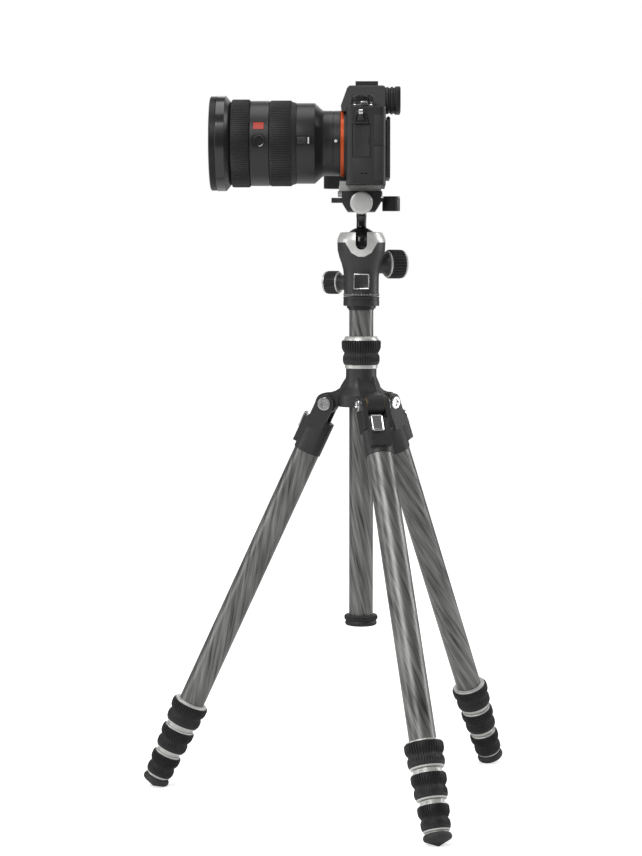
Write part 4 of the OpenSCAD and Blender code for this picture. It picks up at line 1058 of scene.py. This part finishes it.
def dome(height, radius, reach, steps=9):
    """Points of a spherical cap from its rim to its middle."""
    points = []
    for step in range(steps + 1):
        out = reach * (1 - step / steps)
        points.append((out, height + math.sqrt(radius * radius - out * out) - radius))
    return points


form = bmesh.new()
turned(form, [(0, nose - 12.8), (35.0, nose - 12.8)] + dome(nose - 6, 90, 35.0), 128)
turned(
    form,
    [(0, start + 60), (32.0, start + 60)] + [
        (r, start + 61 + (start + 68 - h) * 0 + 7 - 0.8 * r / 32) for r, h in dome(start + 68, 75, 32.0)
    ],
    96,
)
turned(form, [(0, start + 36), (32.0, start + 36), (32.0, start + 43), (0, start + 41)], 96)
piece("lens_glass", form, along_lens, [coated_glass], "lens_front", ["lens_glass"])

# ---- Buttons on the lens ----
# A focus-hold button in a raised collar, the focus-mode slider in its recess,
# a plain red plate and the white mounting mark, all on the side.
badge_red = Finish("red_enamel", (0.5, 0.03, 0.015), 0.3, Coat_Weight=0.3)
badge_red.worn((0.46, 0.028, 0.014), (0.56, 0.045, 0.022), 0.32, 0.08)
sideways = Matrix(((0, 0, 1), (1, 0, 0), (0, 1, 0))).to_4x4()
button_at = mid_at + 9.4
at_hold = Matrix.Translation((0, 0.4, button_at)) @ sideways
form = bmesh.new()
turned(
    form,
    [
        (0, sleeve_r + 2.2), (4.3, sleeve_r + 2.2), (4.3, mid_r - 0.1), (3.9, mid_r + 0.35),
        (3.0, mid_r + 0.4), (1.5, mid_r + 0.15), (0, mid_r + 0.1),
    ],
    64,
)
piece(
    "hold_button", form, along_lens @ Matrix.Translation(mm(0, 0.4, button_at)) @ sideways, [gloss_black],
    "hold_button", ["hold_button"],
)
form = bmesh.new()
turned(
    form,
    [
        (4.5, mid_r - 0.8), (6.4, mid_r - 0.8), (6.6, mid_r - 0.2), (6.3, mid_r + 0.25),
        (5.2, mid_r + 0.15), (4.5, mid_r - 0.2),
    ],
    72, at_hold, ring=True,
)
piece("hold_collar", form, along_lens, [gloss_black], "camera")


def on_barrel(form, radius, tall, low, high, middle, deep, finish=0, round_off=0.5):
    """A thin plate bent round the barrel, centred at a height on the side."""
    width = tall / 2
    made = bmesh.ops.create_grid(form, x_segments=12, y_segments=2, size=0.5)
    verts = made["verts"]
    bmesh.ops.transform(form, matrix=Matrix.Diagonal((tall, high - low, 1, 1)), verts=verts)
    faces = list({face for vert in verts for face in vert.link_faces})
    grown = bmesh.ops.extrude_face_region(form, geom=faces)
    top = [item for item in grown["geom"] if isinstance(item, bmesh.types.BMVert)]
    for vert in verts:
        vert.co = Vector((vert.co.x, vert.co.y, -0.5))
    for vert in top:
        vert.co = Vector((vert.co.x, vert.co.y, deep))
    for vert in verts + top:
        turn = (vert.co.x + middle) / radius
        reach = radius + vert.co.z
        vert.co = Vector((reach * math.cos(turn), reach * math.sin(turn), vert.co.y + (low + high) / 2))
    for face in {face for vert in verts + top for face in vert.link_faces}:
        face.material_index = finish


form = bmesh.new()
on_barrel(form, mid_r, 7.6, button_at - 5.3, button_at + 5.2, 14.4, 0.12, 1)
on_barrel(form, mid_r, 6.6, button_at - 4.8, button_at + 4.7, 14.4, 0.22, 0)
piece("side_badge", form, along_lens, [badge_red, gloss_black], "camera")

form = bmesh.new()
switch_at = start + 32.2
on_barrel(form, rear_r, 9.0, switch_at - 8.0, switch_at + 8.2, 0.7, 0.14, 1)
piece("switch_bezel", form, along_lens, [satin_black, gloss_black], "camera")
form = bmesh.new()
bar(form, (rear_r - 1.3, -2.6, switch_at - 4.4), (rear_r + 0.3, 4.0, switch_at + 7), 0.3)
bar(form, (rear_r - 0.4, -1.9, switch_at - 1.4), (rear_r + 1.3, 3.3, switch_at + 1.6), 0.5, 0)
bar(form, (rear_r + 0.2, -2.2, switch_at - 3.8), (rear_r + 0.42, 3.6, switch_at - 2.6), 0.08, 1)
piece(
    "focus_switch", form, along_lens, [satin_black, marker_white], "focus_switch",
    ["focus_switch"],
)

form = bmesh.new()
turned(form,
[(0, mount_r - 0.3), (1.4, mount_r - 0.3), (1.4, mount_r + 0.12), (1.2, mount_r + 0.2), (0, mount_r + 0.2)],
32,
       Matrix.Translation((0, 0.6, start + 4.1)) @ sideways)
piece("mounting_mark", form, along_lens, [marker_white], "camera")

# ---- Inside the camera ----
# Sensor unit, main board, battery and finder block, closed in by the shell.
board = Finish("circuit_board", (0.02, 0.09, 0.04), 0.5)
shade = board.node("ShaderNodeTexNoise", {}, board.node("ShaderNodeTexCoord", {}, out=3), None, 320, 3)
board.set("Base Color", board.mix(shade, (0.015, 0.07, 0.03), (0.05, 0.14, 0.07)))
inside = frame["nodes"]["camera_internals"]
inside.data.materials.clear()
inside.data.materials.append(board.material)
